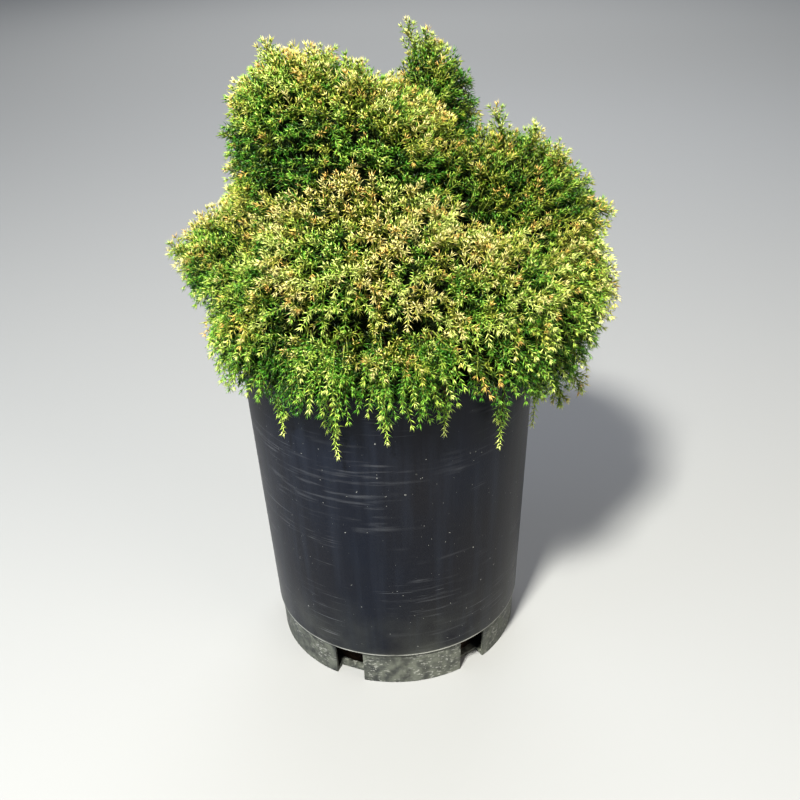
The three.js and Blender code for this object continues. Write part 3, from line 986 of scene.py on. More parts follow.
def finished(cells: Cells, name: str, smooth: bool = False) -> Mesh:
    """Turns worked cells into a mesh, and frees them.

    Args:
        cells: The cells.
        name: The mesh's name.
        smooth: Whether its faces are shaded smooth.

    Returns:
        The mesh.
    """
    mesh = bpy.data.meshes.new(name)
    cells.to_mesh(mesh)
    cells.free()
    if smooth:
        mesh.shade_smooth()
    return mesh


def spun(section: list[Pair], sides: int) -> Cells:
    """Spins a section about the vertical axis.

    Args:
        section: The section's corners, as distance out and height in millimetres.
        sides: Sides round the axis.

    Returns:
        The cells of a closed body, with its normals out.
    """
    cells = bmesh.new()
    corners = [cells.verts.new((out * MM, 0.0, up * MM)) for out, up in section]
    edges = [cells.edges.new(pair) for pair in zip(corners, corners[1:])]
    bmesh.ops.spin(
        cells, geom=corners + edges, cent=(0, 0, 0), axis=(0, 0, 1), angle=FULL_TURN,
        steps=sides, use_merge=True,
    )
    bmesh.ops.remove_doubles(cells, verts=cells.verts, dist=LEVEL)
    bmesh.ops.recalc_face_normals(cells, faces=cells.faces)
    return cells


def put(name: str, data: bpy.types.ID) -> bpy.types.Object:
    """Makes an object of a mesh, a lamp or a camera, and links it into the scene."""
    thing = bpy.data.objects.new(name, data)
    bpy.context.scene.collection.objects.link(thing)
    return thing


def show(
    name: str,
    mesh: Mesh,
    finishes: list[Material],
    nodes: tuple[str, ...] = (),
) -> None:
    """Puts a finished mesh in the scene as a piece of the plant or of its pot.

    Args:
        name: The piece's name.
        mesh: Its mesh, in metres and in place.
        finishes: Its materials, in slot order.
        nodes: The solids that it stands for.
    """
    for finish in finishes:
        mesh.materials.append(finish)
    piece = put(name, mesh)
    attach(piece, BODY)
    if nodes:
        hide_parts(*nodes)
    log.info("%s: %d faces", name, len(mesh.polygons))


@dataclass
class Parts:
    """Corners, triangles and slots of many small things, gathered before they are joined."""

    points: list[Array] = field(default_factory=list)
    triangles: list[Array] = field(default_factory=list)
    slots: list[Array] = field(default_factory=list)
    count: int = 0

    def add(self, points: Array, triangles: Array, slots: Array) -> None:
        """Adds things.

        Args:
            points: Their corners, in millimetres.
            triangles: Corner numbers, counted from the first of these corners.
            slots: The material slot of each triangle.
        """
        self.points.append(points)
        self.triangles.append(triangles + self.count)
        self.slots.append(slots)
        self.count += len(points)

    def mesh(self, name: str) -> Mesh:
        """Joins everything into one mesh.

        Args:
            name: The mesh's name.

        Returns:
            The mesh, in metres.
        """
        points = np.concatenate(self.points) * MM
        triangles = np.concatenate(self.triangles)
        mesh = bpy.data.meshes.new(name)
        mesh.vertices.add(len(points))
        mesh.vertices.foreach_set("co", points.astype(np.float32).ravel())
        mesh.loops.add(triangles.size)
        mesh.loops.foreach_set("vertex_index", triangles.astype(np.int32).ravel())
        mesh.polygons.add(len(triangles))
        mesh.polygons.foreach_set("loop_start", np.arange(0, triangles.size, 3, dtype=np.int32))
        mesh.polygons.foreach_set("material_index", np.concatenate(self.slots).astype(np.int32))
        mesh.update(calc_edges=True)
        return mesh


def frames(ways: Array) -> tuple[Array, Array]:
    """Finds two unit vectors square to each direction and to each other.

    Args:
        ways: Unit vectors, one a row.

    Returns:
        Both sets of vectors, one a row.
    """
    steep = 0.9
    guide = np.where(np.abs(ways[:, 2:3]) < steep, UP, np.array([1.0, 0.0, 0.0]))
    side = unit(np.cross(ways, guide))
    return side, np.cross(ways, side)


def tubes(lines: Array, radii: Array, slot: int, parts: Parts, sides: int = 3) -> None:
    """Adds closed tapering tubes.

    Args:
        lines: The points of each tube's line: tubes, rings, coordinates.
        radii: The radius at each ring: tubes, rings.
        slot: The material slot.
        parts: Where they go.
        sides: Sides round each tube.
    """
    count, rings, _ = lines.shape
    side, other = frames(unit(lines[:, -1] - lines[:, 0]))
    turns = np.arange(sides) * FULL_TURN / sides
    spokes = side[:, None] * np.cos(turns)[None, :, None] + other[:, None] * np.sin(turns)[None, :, None]
    points = lines[:, :, None] + spokes[:, None] * radii[:, :, None, None]
    faces = []
    for ring in range(rings - 1):
        for k in range(sides):
            low = ring * sides + k
            low_next = ring * sides + (k + 1) % sides
            faces.append([low, low_next, low_next + sides])
            faces.append([low, low_next + sides, low + sides])
    last = (rings - 1) * sides
    for k in range(1, sides - 1):
        faces.append([0, k + 1, k])
        faces.append([last, last + k, last + k + 1])
    one = np.array(faces)
    starts = np.arange(count) * rings * sides
    triangles = (one[None] + starts[:, None, None]).reshape(-1, 3)
    parts.add(points.reshape(-1, 3), triangles, np.full(len(triangles), slot))


def run_twigs(starts: Array, ends: Array, radii: Pair, sides: int, parts: Parts) -> None:
    """Adds brown twigs with a slight sag.

    Args:
        starts: Where they start, one a row.
        ends: Where they end.
        radii: The radius at the start and at the end.
        sides: Sides round each twig.
        parts: Where they go.
    """
    sag = 0.05
    middle = (starts + ends) / 2.0 - UP * np.linalg.norm(ends - starts, axis=1)[:, None] * sag
    lines = np.stack([starts, middle, ends], axis=1)
    taper = np.array([radii[0], (radii[0] + radii[1]) / 2.0, radii[1]])
    tubes(lines, np.tile(taper, (len(starts), 1)), 0, parts, sides)


@dataclass
class Sprays:
    """Sprays of needles, one a row: where each starts, how it grows, and its colour."""

    root: Array
    way: Array
    length: Array
    curl: Array
    tint: Array
    ramp: Array

    def at(self, owner: Array, share: Array) -> Array:
        """Points along sprays, each on the spray that its owner names."""
        along = self.length[owner, None] * share[:, None]
        return self.root[owner] + self.way[owner] * along + self.curl[owner] * along * share[:, None]

    def tangent(self, owner: Array, share: Array) -> Array:
        """The direction of growth at points along sprays."""
        return unit(self.way[owner] + 2.0 * self.curl[owner] * share[:, None])

    def keep(self, kept: Array) -> "Sprays":
        """Only the sprays that a mask names."""
        return Sprays(*(getattr(self, part.name)[kept] for part in fields(self)))

    @classmethod
    def joined(cls, rows: list["Sprays"]) -> "Sprays":
        """Several sets of sprays as one."""
        return cls(*(np.concatenate([getattr(row, part.name) for row in rows]) for part in fields(cls)))

    @classmethod
    def single(
        cls, root: Array, way: Array, length: float, curl: Array, tint: float, ramp: Ramp
    ) -> "Sprays":
        """One spray as a set, with its values in the order of the fields."""
        one = np.array([length])
        return cls(root[None], way[None], one, curl[None], np.array([tint]), np.array([ramp.value]))

    @classmethod
    def none(cls) -> "Sprays":
        """An empty set."""
        rows = np.empty((0, 3))
        return cls(rows, rows, np.empty(0), rows, np.empty(0), np.empty(0, dtype=int))


@dataclass(frozen=True)
class NeedleRule:
    """How needles stand on a spray. Lengths are in millimetres, angles in degrees."""

    whorl: int = 3
    whorls_per_mm: float = 0.44
    fewest: int = 3
    whorl_start: float = 0.6
    whorl_scatter: float = 0.25
    bare: float = 0.1
    tuft: int = 3
    tuft_open: float = 30.0
    tuft_size: float = 0.72
    length: float = 4.9
    width: float = 0.92
    small: float = 0.72
    swell: float = 0.28
    swell_from: float = 0.1
    swell_over: float = 0.75
    size_scatter: float = 0.12
    smallest: float = 0.7
    largest: float = 1.3
    open_at_root: float = 74.0
    open_at_tip: float = 43.0
    open_scatter: float = 7.0
    turn_scatter: float = 0.14
    seat: float = 0.15
    knee: float = 0.42
    bow: float = 9.0
    bow_back: float = 0.6
    stem_root: float = 0.5
    stem_tip: float = 0.22
    stem_reach: float = 0.98
    # Steps darker toward a spray's root: part ageing, part painted shade
    ageing: float = 2.7
    youth: float = 1.5
    age_scatter: float = 0.14
    budded: float = 0.24
    bud_from: float = 0.8
    bud_share: float = 0.75

    def stand(self, sprays: Sprays, rng: Random, parts: Parts) -> None:
        """Adds every needle of the sprays: a closed awl, flat above, keeled below, bent inward.

        Args:
            sprays: The sprays.
            rng: The stream that varies them.
            parts: Where the needles go.
        """
        whorls = np.round(sprays.length * (1.0 - self.bare) * self.whorls_per_mm)
        ranked = np.maximum(whorls, self.fewest).astype(int) * self.whorl
        counts = ranked + self.tuft
        owner = np.repeat(np.arange(len(counts)), counts)
        total = len(owner)
        order = np.arange(total) - np.repeat(np.cumsum(counts) - counts, counts)
        last = order >= ranked[owner]
        level = np.minimum(order, ranked[owner] - 1) // self.whorl
        share = level + self.whorl_start + self.whorl_scatter * rng.random(total)
        share = np.where(last, 1.0, share * self.whorl / ranked[owner])
        place = self.bare + (1.0 - self.bare) * share
        ahead = sprays.tangent(owner, place)
        side, other = frames(sprays.way)
        phase = rng.random(len(counts)) * FULL_TURN
        turn = np.where(last, order / self.tuft, (order + 0.5 * level) / self.whorl) * FULL_TURN
        turn = turn + phase[owner] + rng.normal(0.0, self.turn_scatter, total)
        spoke = side[owner] * np.cos(turn)[:, None] + other[owner] * np.sin(turn)[:, None]
        spoke = unit(spoke - ahead * (spoke * ahead).sum(axis=1, keepdims=True))
        opening = self.open_at_root + (self.open_at_tip - self.open_at_root) * share ** 2.0
        opening = np.where(last, self.tuft_open, opening)
        opening = np.radians(opening + rng.normal(0.0, self.open_scatter, total))
        bulge = np.sin(np.pi * (self.swell_from + self.swell_over * share))
        size = self.length * np.where(last, self.tuft_size, self.small + self.swell * bulge)
        varied = (1.0 + rng.normal(0.0, self.size_scatter, total)).clip(self.smallest, self.largest)
        size = (size * varied)[:, None]

        def lean(turned: float) -> Array:
            """The direction of each needle, opened further by an angle."""
            angle = (opening + math.radians(turned))[:, None]
            return ahead * np.cos(angle) + spoke * np.sin(angle)

        root = sprays.at(owner, place) + spoke * self.seat
        half = np.cross(ahead, spoke) * self.width * 0.5
        knee = root + lean(self.bow) * size * self.knee
        tip = root + lean(-self.bow * self.bow_back) * size
        points = np.stack([root + half, root - half, knee, tip], axis=1)
        one = np.array([[0, 2, 1], [0, 1, 3], [0, 3, 2], [1, 2, 3]])
        triangles = (one[None] + (np.arange(total) * len(one))[:, None, None]).reshape(-1, 3)
        tint = self.tints(sprays, owner, share, rng)
        parts.add(points.reshape(-1, 3), triangles, np.repeat(tint, len(one)))

    def tints(self, sprays: Sprays, owner: Array, share: Array, rng: Random) -> Array:
        """Colours each needle: older and darker toward its spray's root, part real age and part painted shade
        deep in the spray, and some end in buds.

        Args:
            sprays: The sprays.
            owner: Which spray each needle is on.
            share: How far along the spray it is.
            rng: The stream that varies them.

        Returns:
            The material slot of each needle.
        """
        total = len(owner)
        young = share ** self.youth + rng.normal(0.0, self.age_scatter, total)
        # Darker toward the root: part real age, part painted shade
        tint = np.round(sprays.tint[owner] - self.ageing * (1.0 - young)).astype(int)
        tint = tint.clip(0, TINTS - 1) + TINTS * sprays.ramp[owner]
        budded = (sprays.ramp == Ramp.GOLDEN.value) & (rng.random(len(sprays.ramp)) < self.budded)
        bud = budded[owner] & (share > self.bud_from) & (rng.random(total) < self.bud_share)
        return np.where(bud, TINTS * len(Ramp), tint)

    def stems(self, sprays: Sprays, slot: int, parts: Parts) -> None:
        """Adds the stem of every spray.

        Args:
            sprays: The sprays.
            slot: The stems' material slot.
            parts: Where they go.
        """
        owner = np.arange(len(sprays.length))
        ends = [sprays.at(owner, np.full(len(owner), share)) for share in (0.0, self.stem_reach)]
        taper = np.tile((self.stem_root, self.stem_tip), (len(owner), 1))
        tubes(np.stack(ends, axis=1), taper, slot, parts)


@dataclass(frozen=True)
class HemRule:
    """The crown's lower edge, in millimetres, and in degrees round the pot.

    Each of its waves is given by its share, its count round the pot and its phase.
    """

    height: float = 243.0
    wave: float = 9.0
    waves: tuple[Point3, ...] = ((0.6, 7.0, 1.0), (0.4, 16.0, 2.0))
    flank_angle: float = -22.0
    flank_spread: float = 24.0
    flank_drop: float = 25.0
    notch_angle: float = -63.5
    notch_spread: float = 6.5
    notch_rise: float = 15.0

    def over(self, points: Array) -> Array:
        """Finds the edge, which waves round the pot, drops at one flank and lifts at a notch.

        Args:
            points: Points, one a row.

        Returns:
            The height of the edge at each point's place round the pot.
        """
        turn = np.arctan2(points[:, 1], points[:, 0])
        wave = sum(share * np.sin(turn * count + phase) for share, count, phase in self.waves)
        flank = (np.degrees(turn) - self.flank_angle) / self.flank_spread
        notch = (np.degrees(turn) - self.notch_angle) / self.notch_spread
        lower = self.flank_drop * np.exp(-flank * flank)
        higher = self.notch_rise * np.exp(-notch * notch)
        return self.height + self.wave * wave - lower + higher


@dataclass(frozen=True)
class ReliefRule:
    """The clumps of the crown's surface, in millimetres."""

    height: float = 8.0
    size: float = 18.0
    clump_size: float = 44.0
    squash: float = 0.6
    strength: float = 1.1
    scatter: float = 0.3
    deepest: float = -0.7
    deepest_on_top: float = 0.4
    highest: float = 0.55

    def crest(self, points: Array) -> Array:
        """Tells lumps from hollows, at two sizes.

        Args:
            points: Points, one a row.

        Returns:
            How far the foliage stands out over each point, from about -1 to 1.
        """
        apart = 7.0
        squashed = points / np.array([1.0, 1.0, self.squash])
        small = np.array([noise.noise(Vector(point)) for point in squashed / self.size])
        large = np.array([noise.noise(Vector(point)) for point in squashed / self.clump_size + apart])
        return self.strength * small + self.strength * large


@dataclass
class Layer:
    """Places for sprays on one mass: each one's tip, the normal there and how far it stands out."""

    tip: Array
    normal: Array
    crest: Array
    group: Array = field(init=False)
    forks: Array = field(init=False)


@dataclass(frozen=True)
class ToneRule:
    """How the sprays' colours are dealt out, in steps of the needle colours.

    A spray is golden by a chance that starts at the mass's lean and grows with the sun, with
    a drift over the crown and on crests. Its level on its ramp grows in the same way, and carries
    painted light and shade: paler where the spray faces up, on crests and on masses set paler,
    darker in hollows, low on the crown and on masses set darker.
    """

    lean: tuple[tuple[Look, float], ...] = ((Look.GOLD, 0.32), (Look.GREEN, 0.06), (Look.LIME, 0.18))
    sun: float = 0.5
    drift: float = 1.0
    golden_crest: float = 0.25
    golden_low: float = 0.55
    level: float = 4.0
    patch: float = 1.4
    # Steps paler on crests and darker in hollows: painted light and shade
    crest: float = 1.2
    scatter: float = 0.55
    # Steps darker low on the crown: painted shade
    low: float = 0.8
    least: float = 2.0
    past_last: float = 0.2
    patch_size: float = 30.0
    drift_size: float = 22.0
    darkest_sun: float = -0.4
    low_under: float = 285.0
    low_over: float = 40.0

    def deal(self, mass: Mass, layer: Layer, rng: Random) -> tuple[Array, Array]:
        """Deals a colour to each spray: golden in the sun, and painted paler where it faces up, darker in
        hollows and low down.

        Args:
            mass: The mass.
            layer: The tips.
            rng: The mass's stream.

        Returns:
            How far along its ramp the tip of each spray is, and its ramp.
        """
        count = len(layer.tip)
        places = [Vector(point) for point in layer.tip]
        elsewhere = Vector((9.0, 4.0, 7.0))
        patch = np.array([noise.noise(place / self.patch_size) for place in places])
        drift = np.array([noise.noise(place / self.drift_size + elsewhere) for place in places])
        sun = np.maximum(layer.normal[:, 2], self.darkest_sun)
        # Darker low on the crown: painted shade
        low = np.clip((self.low_under - layer.tip[:, 2]) / self.low_over, 0.0, 1.0)
        chance = dict(self.lean)[mass.look] + self.sun * sun + self.drift * drift
        chance = chance + self.golden_crest * layer.crest - self.golden_low * low
        ramp = np.where(rng.random(count) < chance, Ramp.GOLDEN.value, Ramp.GREEN.value)
        # Painted light and shade: the level rises where the spray faces up, on crests and on masses set
        # paler, and falls in hollows, low down and on masses set darker
        level = self.level + PAINTED_MASS_LIGHT.get(mass.name, 0.0) + self.sun * sun + self.patch * patch
        level = level + self.crest * layer.crest + rng.normal(0.0, self.scatter, count)
        level = level - self.low * low
        return level.clip(self.least, TINTS + self.past_last), ramp


@dataclass(frozen=True)
class GrowthRule:
    """How sprays grow over a mass. Lengths are in millimetres, angles in degrees."""

    spacing: float = 7.3
    skin: float = 1.0
    inner_spacing: float = 7.0
    inner_depth: float = 10.5
    inner_length: float = 15.0
    outer_seed: int = 3000
    inner_seed: int = 6000
    mass_seed: int = 4000
    candidate_area: float = 0.12
    least_room: float = 0.5
    outer_share: float = 0.6
    tip_overlap: float = 1.5
    tip_margin: float = 2.0
    under_height: float = 268.0
    under_out: float = 88.0
    under_slope: float = -0.3
    sprays_per_branchlet: int = 8
    branchlets_per_limb: int = 5
    branchlet_depth: float = 30.0
    leader_length: float = 24.0
    droop_under: float = 325.0
    droop_over: float = 60.0
    hanging: float = 0.3
    root_depth: float = -5.0
    shallow_push: float = 0.8
    shallow_length: float = 0.7
    least_facing: float = 0.26
    fan: float = 0.3
    outward: float = 0.5
    lift: float = 0.35
    hang: float = 0.9
    push: float = 0.3
    push_on_top: float = 0.25
    scatter: float = 0.24
    least_length: float = 0.85
    more_length: float = 0.3
    top_slope: float = 0.45
    curl_up: float = 0.1
    curl_down: float = 0.08
    curl_low: float = 0.15
    curl_scatter: float = 0.08
    # Colour steps of the inner layer of sprays, kept low: painted shade under the outer sprays
    inner_tint: float = 1.0
    inner_tints: float = 1.3
    side_count: int = 2
    side_from: float = 0.3
    side_pitch: float = 0.22
    side_slip: float = 0.1
    side_turn: float = 0.4
    side_open: float = 42.0
    side_open_scatter: float = 8.0
    side_length: float = 11.0
    side_least: float = 0.8
    side_more: float = 0.4
    side_older: float = 0.3
    side_tints: float = 0.5
    hub_share: float = 0.35
    knee_share: float = 0.6
    stem_radii: Pair = (2.2, 1.8)
    limb_radii: Pair = (1.5, 1.1)
    branchlet_radii: Pair = (1.0, 0.7)
    twig_radii: Pair = (0.7, 0.5)
    shoot_limb_radii: Pair = (1.1, 0.8)
    shoot_radii: Pair = (0.8, 0.5)
    shoot_woody: float = 0.5
    stem_sides: int = 5
    limb_sides: int = 4
    twig_sides: int = 3
    tip_needles: float = 3.6
    needle_slack: float = 3.0
    shortest: float = 0.5
    checked_at: Point3 = (0.4, 0.7, 1.0)
    core_depth: float = 19.0
    core_cover: float = 15.0
    core_overlap: float = 5.0
    core_lift: float = 8.0
    core_steps: int = 48
    core_rough: float = 0.12
    core_rough_pitch: float = 9.0
    softness: float = 10.0
    inner_softness: float = 15.0
    overlap: float = 11.0
    pot_margin: float = 3.6
    hem: HemRule = HemRule()
    relief: ReliefRule = ReliefRule()
    tone: ToneRule = ToneRule()


def far_apart(points: Array, count: int) -> tuple[Array, Array]:
    """Picks points far from each other and sorts all points by the nearest one.

    Args:
        points: Points, one a row.
        count: How many are picked.

    Returns:
        The numbers of the picked points, and each point's group.
    """
    picked = [0]
    distance = np.linalg.norm(points - points[0], axis=1)
    group = np.zeros(len(points), dtype=int)
    for k in range(1, min(count, len(points))):
        picked.append(int(np.argmax(distance)))
        fresh = np.linalg.norm(points - points[picked[-1]], axis=1)
        group = np.where(fresh < distance, k, group)
        distance = np.minimum(distance, fresh)
    return np.array(picked), group


@dataclass(frozen=True)
class ShootRule:
    """How a long shoot that sets the outline is dressed. Lengths are in millimetres."""

    root_share: float = 0.85
    bend: float = 0.02
    tint: float = 4.6
    fewest: int = 4
    side_pitch: float = 4.0
    side_from: float = 0.1
    side_over: float = 0.75
    side_ahead: float = 0.8
    side_out: float = 0.6
    side_least: float = 5.0
    side_growth: float = 10.0
    side_thrift: float = 0.6
    side_vigour: float = 0.6
    side_lift: float = 0.05
    side_tint: float = 4.0
    golden: float = 0.4

    def dress(self, root: Array, tip: Array, bare: float, ramp: Ramp, rng: Random) -> list[Sprays]:
        """Grows one shoot: a full spray with side sprays all round it, shorter toward its tip.

        Args:
            root: Where it starts.
            tip: Where its needles end.
            bare: How far the needles reach past the stem.
            ramp: Its run of colours.
            rng: The mass's stream.

        Returns:
            Its sprays.
        """
        way = unit(tip - root)
        long = float(np.linalg.norm(tip - root)) - bare
        rows = [Sprays.single(root, way, long, rng.normal(0.0, self.bend, 3), self.tint, ramp)]
        side, other = frames(way[None])
        count = self.fewest + int(long / self.side_pitch)
        for k in range(count):
            share = self.side_from + self.side_over * k / count
            angle = GOLDEN_TURN * k
            spoke = side[0] * math.cos(angle) + other[0] * math.sin(angle)
            outward = unit(way * self.side_ahead + spoke * self.side_out)
            vigour = self.side_thrift + self.side_vigour * rng.random()
            length = self.side_least + (1.0 - share) * self.side_growth * vigour
            tint = self.side_tint + rng.random()
            sunny = Ramp.GOLDEN if rng.random() < self.golden else Ramp.GREEN
            start = root + way * long * share
            rows.append(Sprays.single(start, outward, length, UP * self.side_lift, tint, sunny))
        return rows


@dataclass(frozen=True)
class TailRule:
    """How a tail that hangs over the rim is dressed: slim, and forked near its root."""

    bend: float = 0.08
    tint: float = 5.0
    forks: int = 4
    fork_from: float = 0.02
    fork_pitch: float = 0.12
    fork_ahead: float = 0.84
    fork_out: float = 0.5
    fork_least: float = 0.3
    fork_more: float = 0.15
    fork_back: float = 0.2
    fork_droop: float = 0.1
    fork_tint: float = 4.4

    def dress(self, root: Array, tip: Array, bare: float, around: Array, rng: Random) -> list[Sprays]:
        """Grows one tail.

        Args:
            root: Where it starts.
            tip: Where its needles end.
            bare: How far the needles reach past the stem.
            around: The way round the pot there, one long.
            rng: The mass's stream.

        Returns:
            Its sprays.
        """
        long = float(np.linalg.norm(tip - root)) - bare
        way = unit(tip - root)
        curl = around * rng.normal(0.0, self.bend)
        rows = [Sprays.single(root, way, long, curl, self.tint, Ramp.GREEN)]
        for k in range(self.forks):
            share = self.fork_from + self.fork_pitch * k
            hand = 1.0 if k % 2 else -1.0
            outward = unit(way * self.fork_ahead + around * (self.fork_out * hand))
            length = (1.0 - share) * long * (self.fork_least + self.fork_more * rng.random())
            curl = around * (-self.fork_back * hand) - UP * self.fork_droop
            start = root + way * long * share
            rows.append(Sprays.single(start, outward, length, curl, self.fork_tint, Ramp.GREEN))
        return rows


@dataclass
class Crown:
    """All the foliage: it spreads sprays over the masses, then grows and dresses each mass."""

    masses: list[Mass]
    rule: GrowthRule = GrowthRule()
    shoot: ShootRule = ShootRule()
    tail: TailRule = TailRule()
    needle: NeedleRule = NeedleRule()
    tail_needle: NeedleRule = NeedleRule(
        length=4.6, width=0.9, open_at_root=68.0, open_at_tip=46.0, ageing=2.4
    )

    def __post_init__(self) -> None:
        """Blends the masses into the outer and the inner surface, and makes the finishes."""
        self.field = CrownField(self.masses, self.rule.softness)
        self.inner_field = CrownField(self.masses, self.rule.inner_softness)
        self.needle_materials = [finish.build() for ramp in Ramp for finish in NEEDLE_FINISHES[ramp]]
        self.needle_materials.append(BUD_FINISH.build())
        self.twig_materials = [BROWN_TWIG.build(), GREEN_SHOOT.build()]
        self.core_material = OLD_FOLIAGE_SHADE.build()

    def spread(self, surface: CrownField, spacing: float, depth: float, seed: int) -> dict[str, Layer]:
        """Spaces out spray tips over the whole crown.

        Args:
            surface: The surface that they follow.
            spacing: The least distance between two tips.
            depth: How far the tips lie under the reach.
            seed: Where the stream starts.

        Returns:
            The places on each mass, by its name.
        """
        rule = self.rule
        relief = rule.relief
        layers: dict[str, Layer] = {}
        taken = np.empty((0, 3))
        for mass in self.masses:
            size = float(np.mean(mass.radii))
            area = spacing * spacing * rule.candidate_area
            ways = sphere_ways(int(4.0 * math.pi * size * size / area), mass.spin)
            ways = ways[mass.needle_room(ways) > mass.reach(ways) * rule.least_room]
            outer = self.field.radius(mass, ways, depth * rule.outer_share)
            radius = np.minimum(surface.radius(mass, ways, depth), outer)
            points = mass.centre + ways * radius[:, None]
            usable = mass.owns(points, rule.tip_overlap) & ~in_pot_space(points, rule.tip_margin)
            _, normals = surface.sample(mass, points)
            under = points[:, 2] < rule.under_height
            under &= np.hypot(points[:, 0], points[:, 1]) < rule.under_out
            usable &= ~(under & (normals[:, 2] < rule.under_slope))
            usable &= points[:, 2] > rule.hem.over(points)
            rng = np.random.default_rng(seed + mass.index)
            chosen = []
            for k in rng.permutation(np.flatnonzero(usable)):
                if len(taken) and np.min(np.sum((taken - points[k]) ** 2, axis=1)) < spacing * spacing:
                    continue
                taken = np.vstack([taken, points[k]])
                chosen.append(k)
            crest = relief.crest(points[chosen]) + rng.normal(0.0, relief.scatter, len(chosen))
            deepest = relief.deepest + relief.deepest_on_top * normals[chosen, 2].clip(0.0)
            lift = relief.height * np.maximum(crest, deepest).clip(None, relief.highest) - rule.tip_needles
            tips = points[chosen] + normals[chosen] * lift[:, None]
            layers[mass.name] = self.branched(Layer(tips, normals[chosen], crest))
        return layers

    def branched(self, layer: Layer) -> Layer:
        """Sorts the sprays of a layer into branchlets and sets the fork that each fans out from.

        Args:
            layer: The tips.

        Returns:
            The same layer.
        """
        count = max(2, len(layer.tip) // self.rule.sprays_per_branchlet)
        _, layer.group = far_apart(layer.tip, count)
        forks = []
        for k in range(layer.group.max() + 1):
            mine = layer.group == k
            normal = unit(layer.normal[mine].mean(axis=0))
            forks.append(layer.tip[mine].mean(axis=0) - normal * self.rule.branchlet_depth)
        layer.forks = np.array(forks)
        return layer

    def sprays(self, mass: Mass, layer: Layer, length: float, rng: Random) -> Sprays:
        """Grows one leading spray to each tip: rising on top, and drooping on the flanks.

        Args:
            mass: The mass.
            layer: The tips, sorted into branchlets.
            length: The usual length of a spray.
            rng: The mass's stream.

        Returns:
            The sprays, one for each tip.
        """
        rule = self.rule
        count = len(layer.tip)
        fan = unit(layer.tip - layer.forks[layer.group])
        rise = layer.normal[:, 2:3]
        low = np.clip((rule.droop_under - layer.tip[:, 2:3]) / rule.droop_over, 0.0, 1.0)
        outward = unit(layer.tip * np.array([1.0, 1.0, 0.0]))
        upward = rise.clip(0.0)
        flow = outward * rule.outward + UP * (rule.lift * upward - rule.hang * low * (1.0 - upward))
        push = layer.normal * (rule.push + rule.push_on_top * upward)
        way = unit(fan * rule.fan + push + flow + rng.normal(0.0, rule.scatter, (count, 3)))
        facing = (way * layer.normal).sum(axis=1, keepdims=True)
        way = unit(way + layer.normal * np.maximum(0.0, rule.least_facing - facing))
        lengths = length * (rule.least_length + rule.more_length * rng.random(count))
        lengths = lengths * (1.0 + rule.hanging * low[:, 0])
        curl = np.where(rise > rule.top_slope, rule.curl_up, -rule.curl_down - rule.curl_low * low) * UP
        curl = curl + rng.normal(0.0, rule.curl_scatter, (count, 3))
        out, _ = self.field.sample(mass, layer.tip - (way + curl) * lengths[:, None])
        shallow = out > rule.root_depth
        way = np.where(shallow[:, None], unit(way + layer.normal * rule.shallow_push), way)
        lengths = lengths * np.where(shallow, rule.shallow_length, 1.0)
        root = layer.tip - (way + curl) * lengths[:, None]
        return Sprays(root, way, lengths, curl, *rule.tone.deal(mass, layer, rng))

    def side_sprays(self, leaders: Sprays, rng: Random) -> Sprays:
        """Grows short side sprays from the leading ones, on alternate sides.

        Args:
            leaders: The leading sprays.
            rng: The mass's stream.

        Returns:
            The side sprays.
        """
        rule = self.rule
        owner = np.arange(len(leaders.length))
        count = len(owner)
        side, other = frames(leaders.way)
        roll = rng.random(count) * FULL_TURN
        rows = []
        for k in range(rule.side_count):
            share = rule.side_from + rule.side_pitch * k + rule.side_slip * rng.random(count)
            turn = roll + math.pi * k + rng.normal(0.0, rule.side_turn, count)
            spread = np.radians(rule.side_open + rng.normal(0.0, rule.side_open_scatter, count))[:, None]
            spoke = side * np.cos(turn)[:, None] + other * np.sin(turn)[:, None]
            way = unit(leaders.tangent(owner, share) * np.cos(spread) + spoke * np.sin(spread))
            length = rule.side_length * (rule.side_least + rule.side_more * rng.random(count))
            tint = leaders.tint - rule.side_older - rule.side_tints * rng.random(count)
            rows.append(Sprays(leaders.at(owner, share), way, length, leaders.curl, tint, leaders.ramp))
        return Sprays.joined(rows)

    def trim(self, mass: Mass, sprays: Sprays) -> Sprays:
        """Shortens sprays that pass the reach and drops those that would leave the space.

        Args:
            mass: The mass that they grow on.
            sprays: The sprays.

        Returns:
            The sprays that stay.
        """
        owner = np.arange(len(sprays.length))
        whole = np.ones(len(owner))
        outside, _ = self.field.sample(mass, sprays.at(owner, whole))
        excess = np.maximum(outside + self.rule.tip_needles - self.rule.needle_slack, 0.0)
        sprays.length = sprays.length * np.clip(1.0 - excess / sprays.length, self.rule.shortest, 1.0)
        fits = np.ones(len(owner), dtype=bool)
        for share in self.rule.checked_at:
            spot = sprays.at(owner, whole * share)
            fits &= ~in_pot_space(spot, self.rule.pot_margin)
            fits &= mass.owns(spot, self.rule.overlap)
            fits &= spot[:, 2] > self.rule.hem.over(spot) - self.rule.needle_slack
        return sprays.keep(fits)

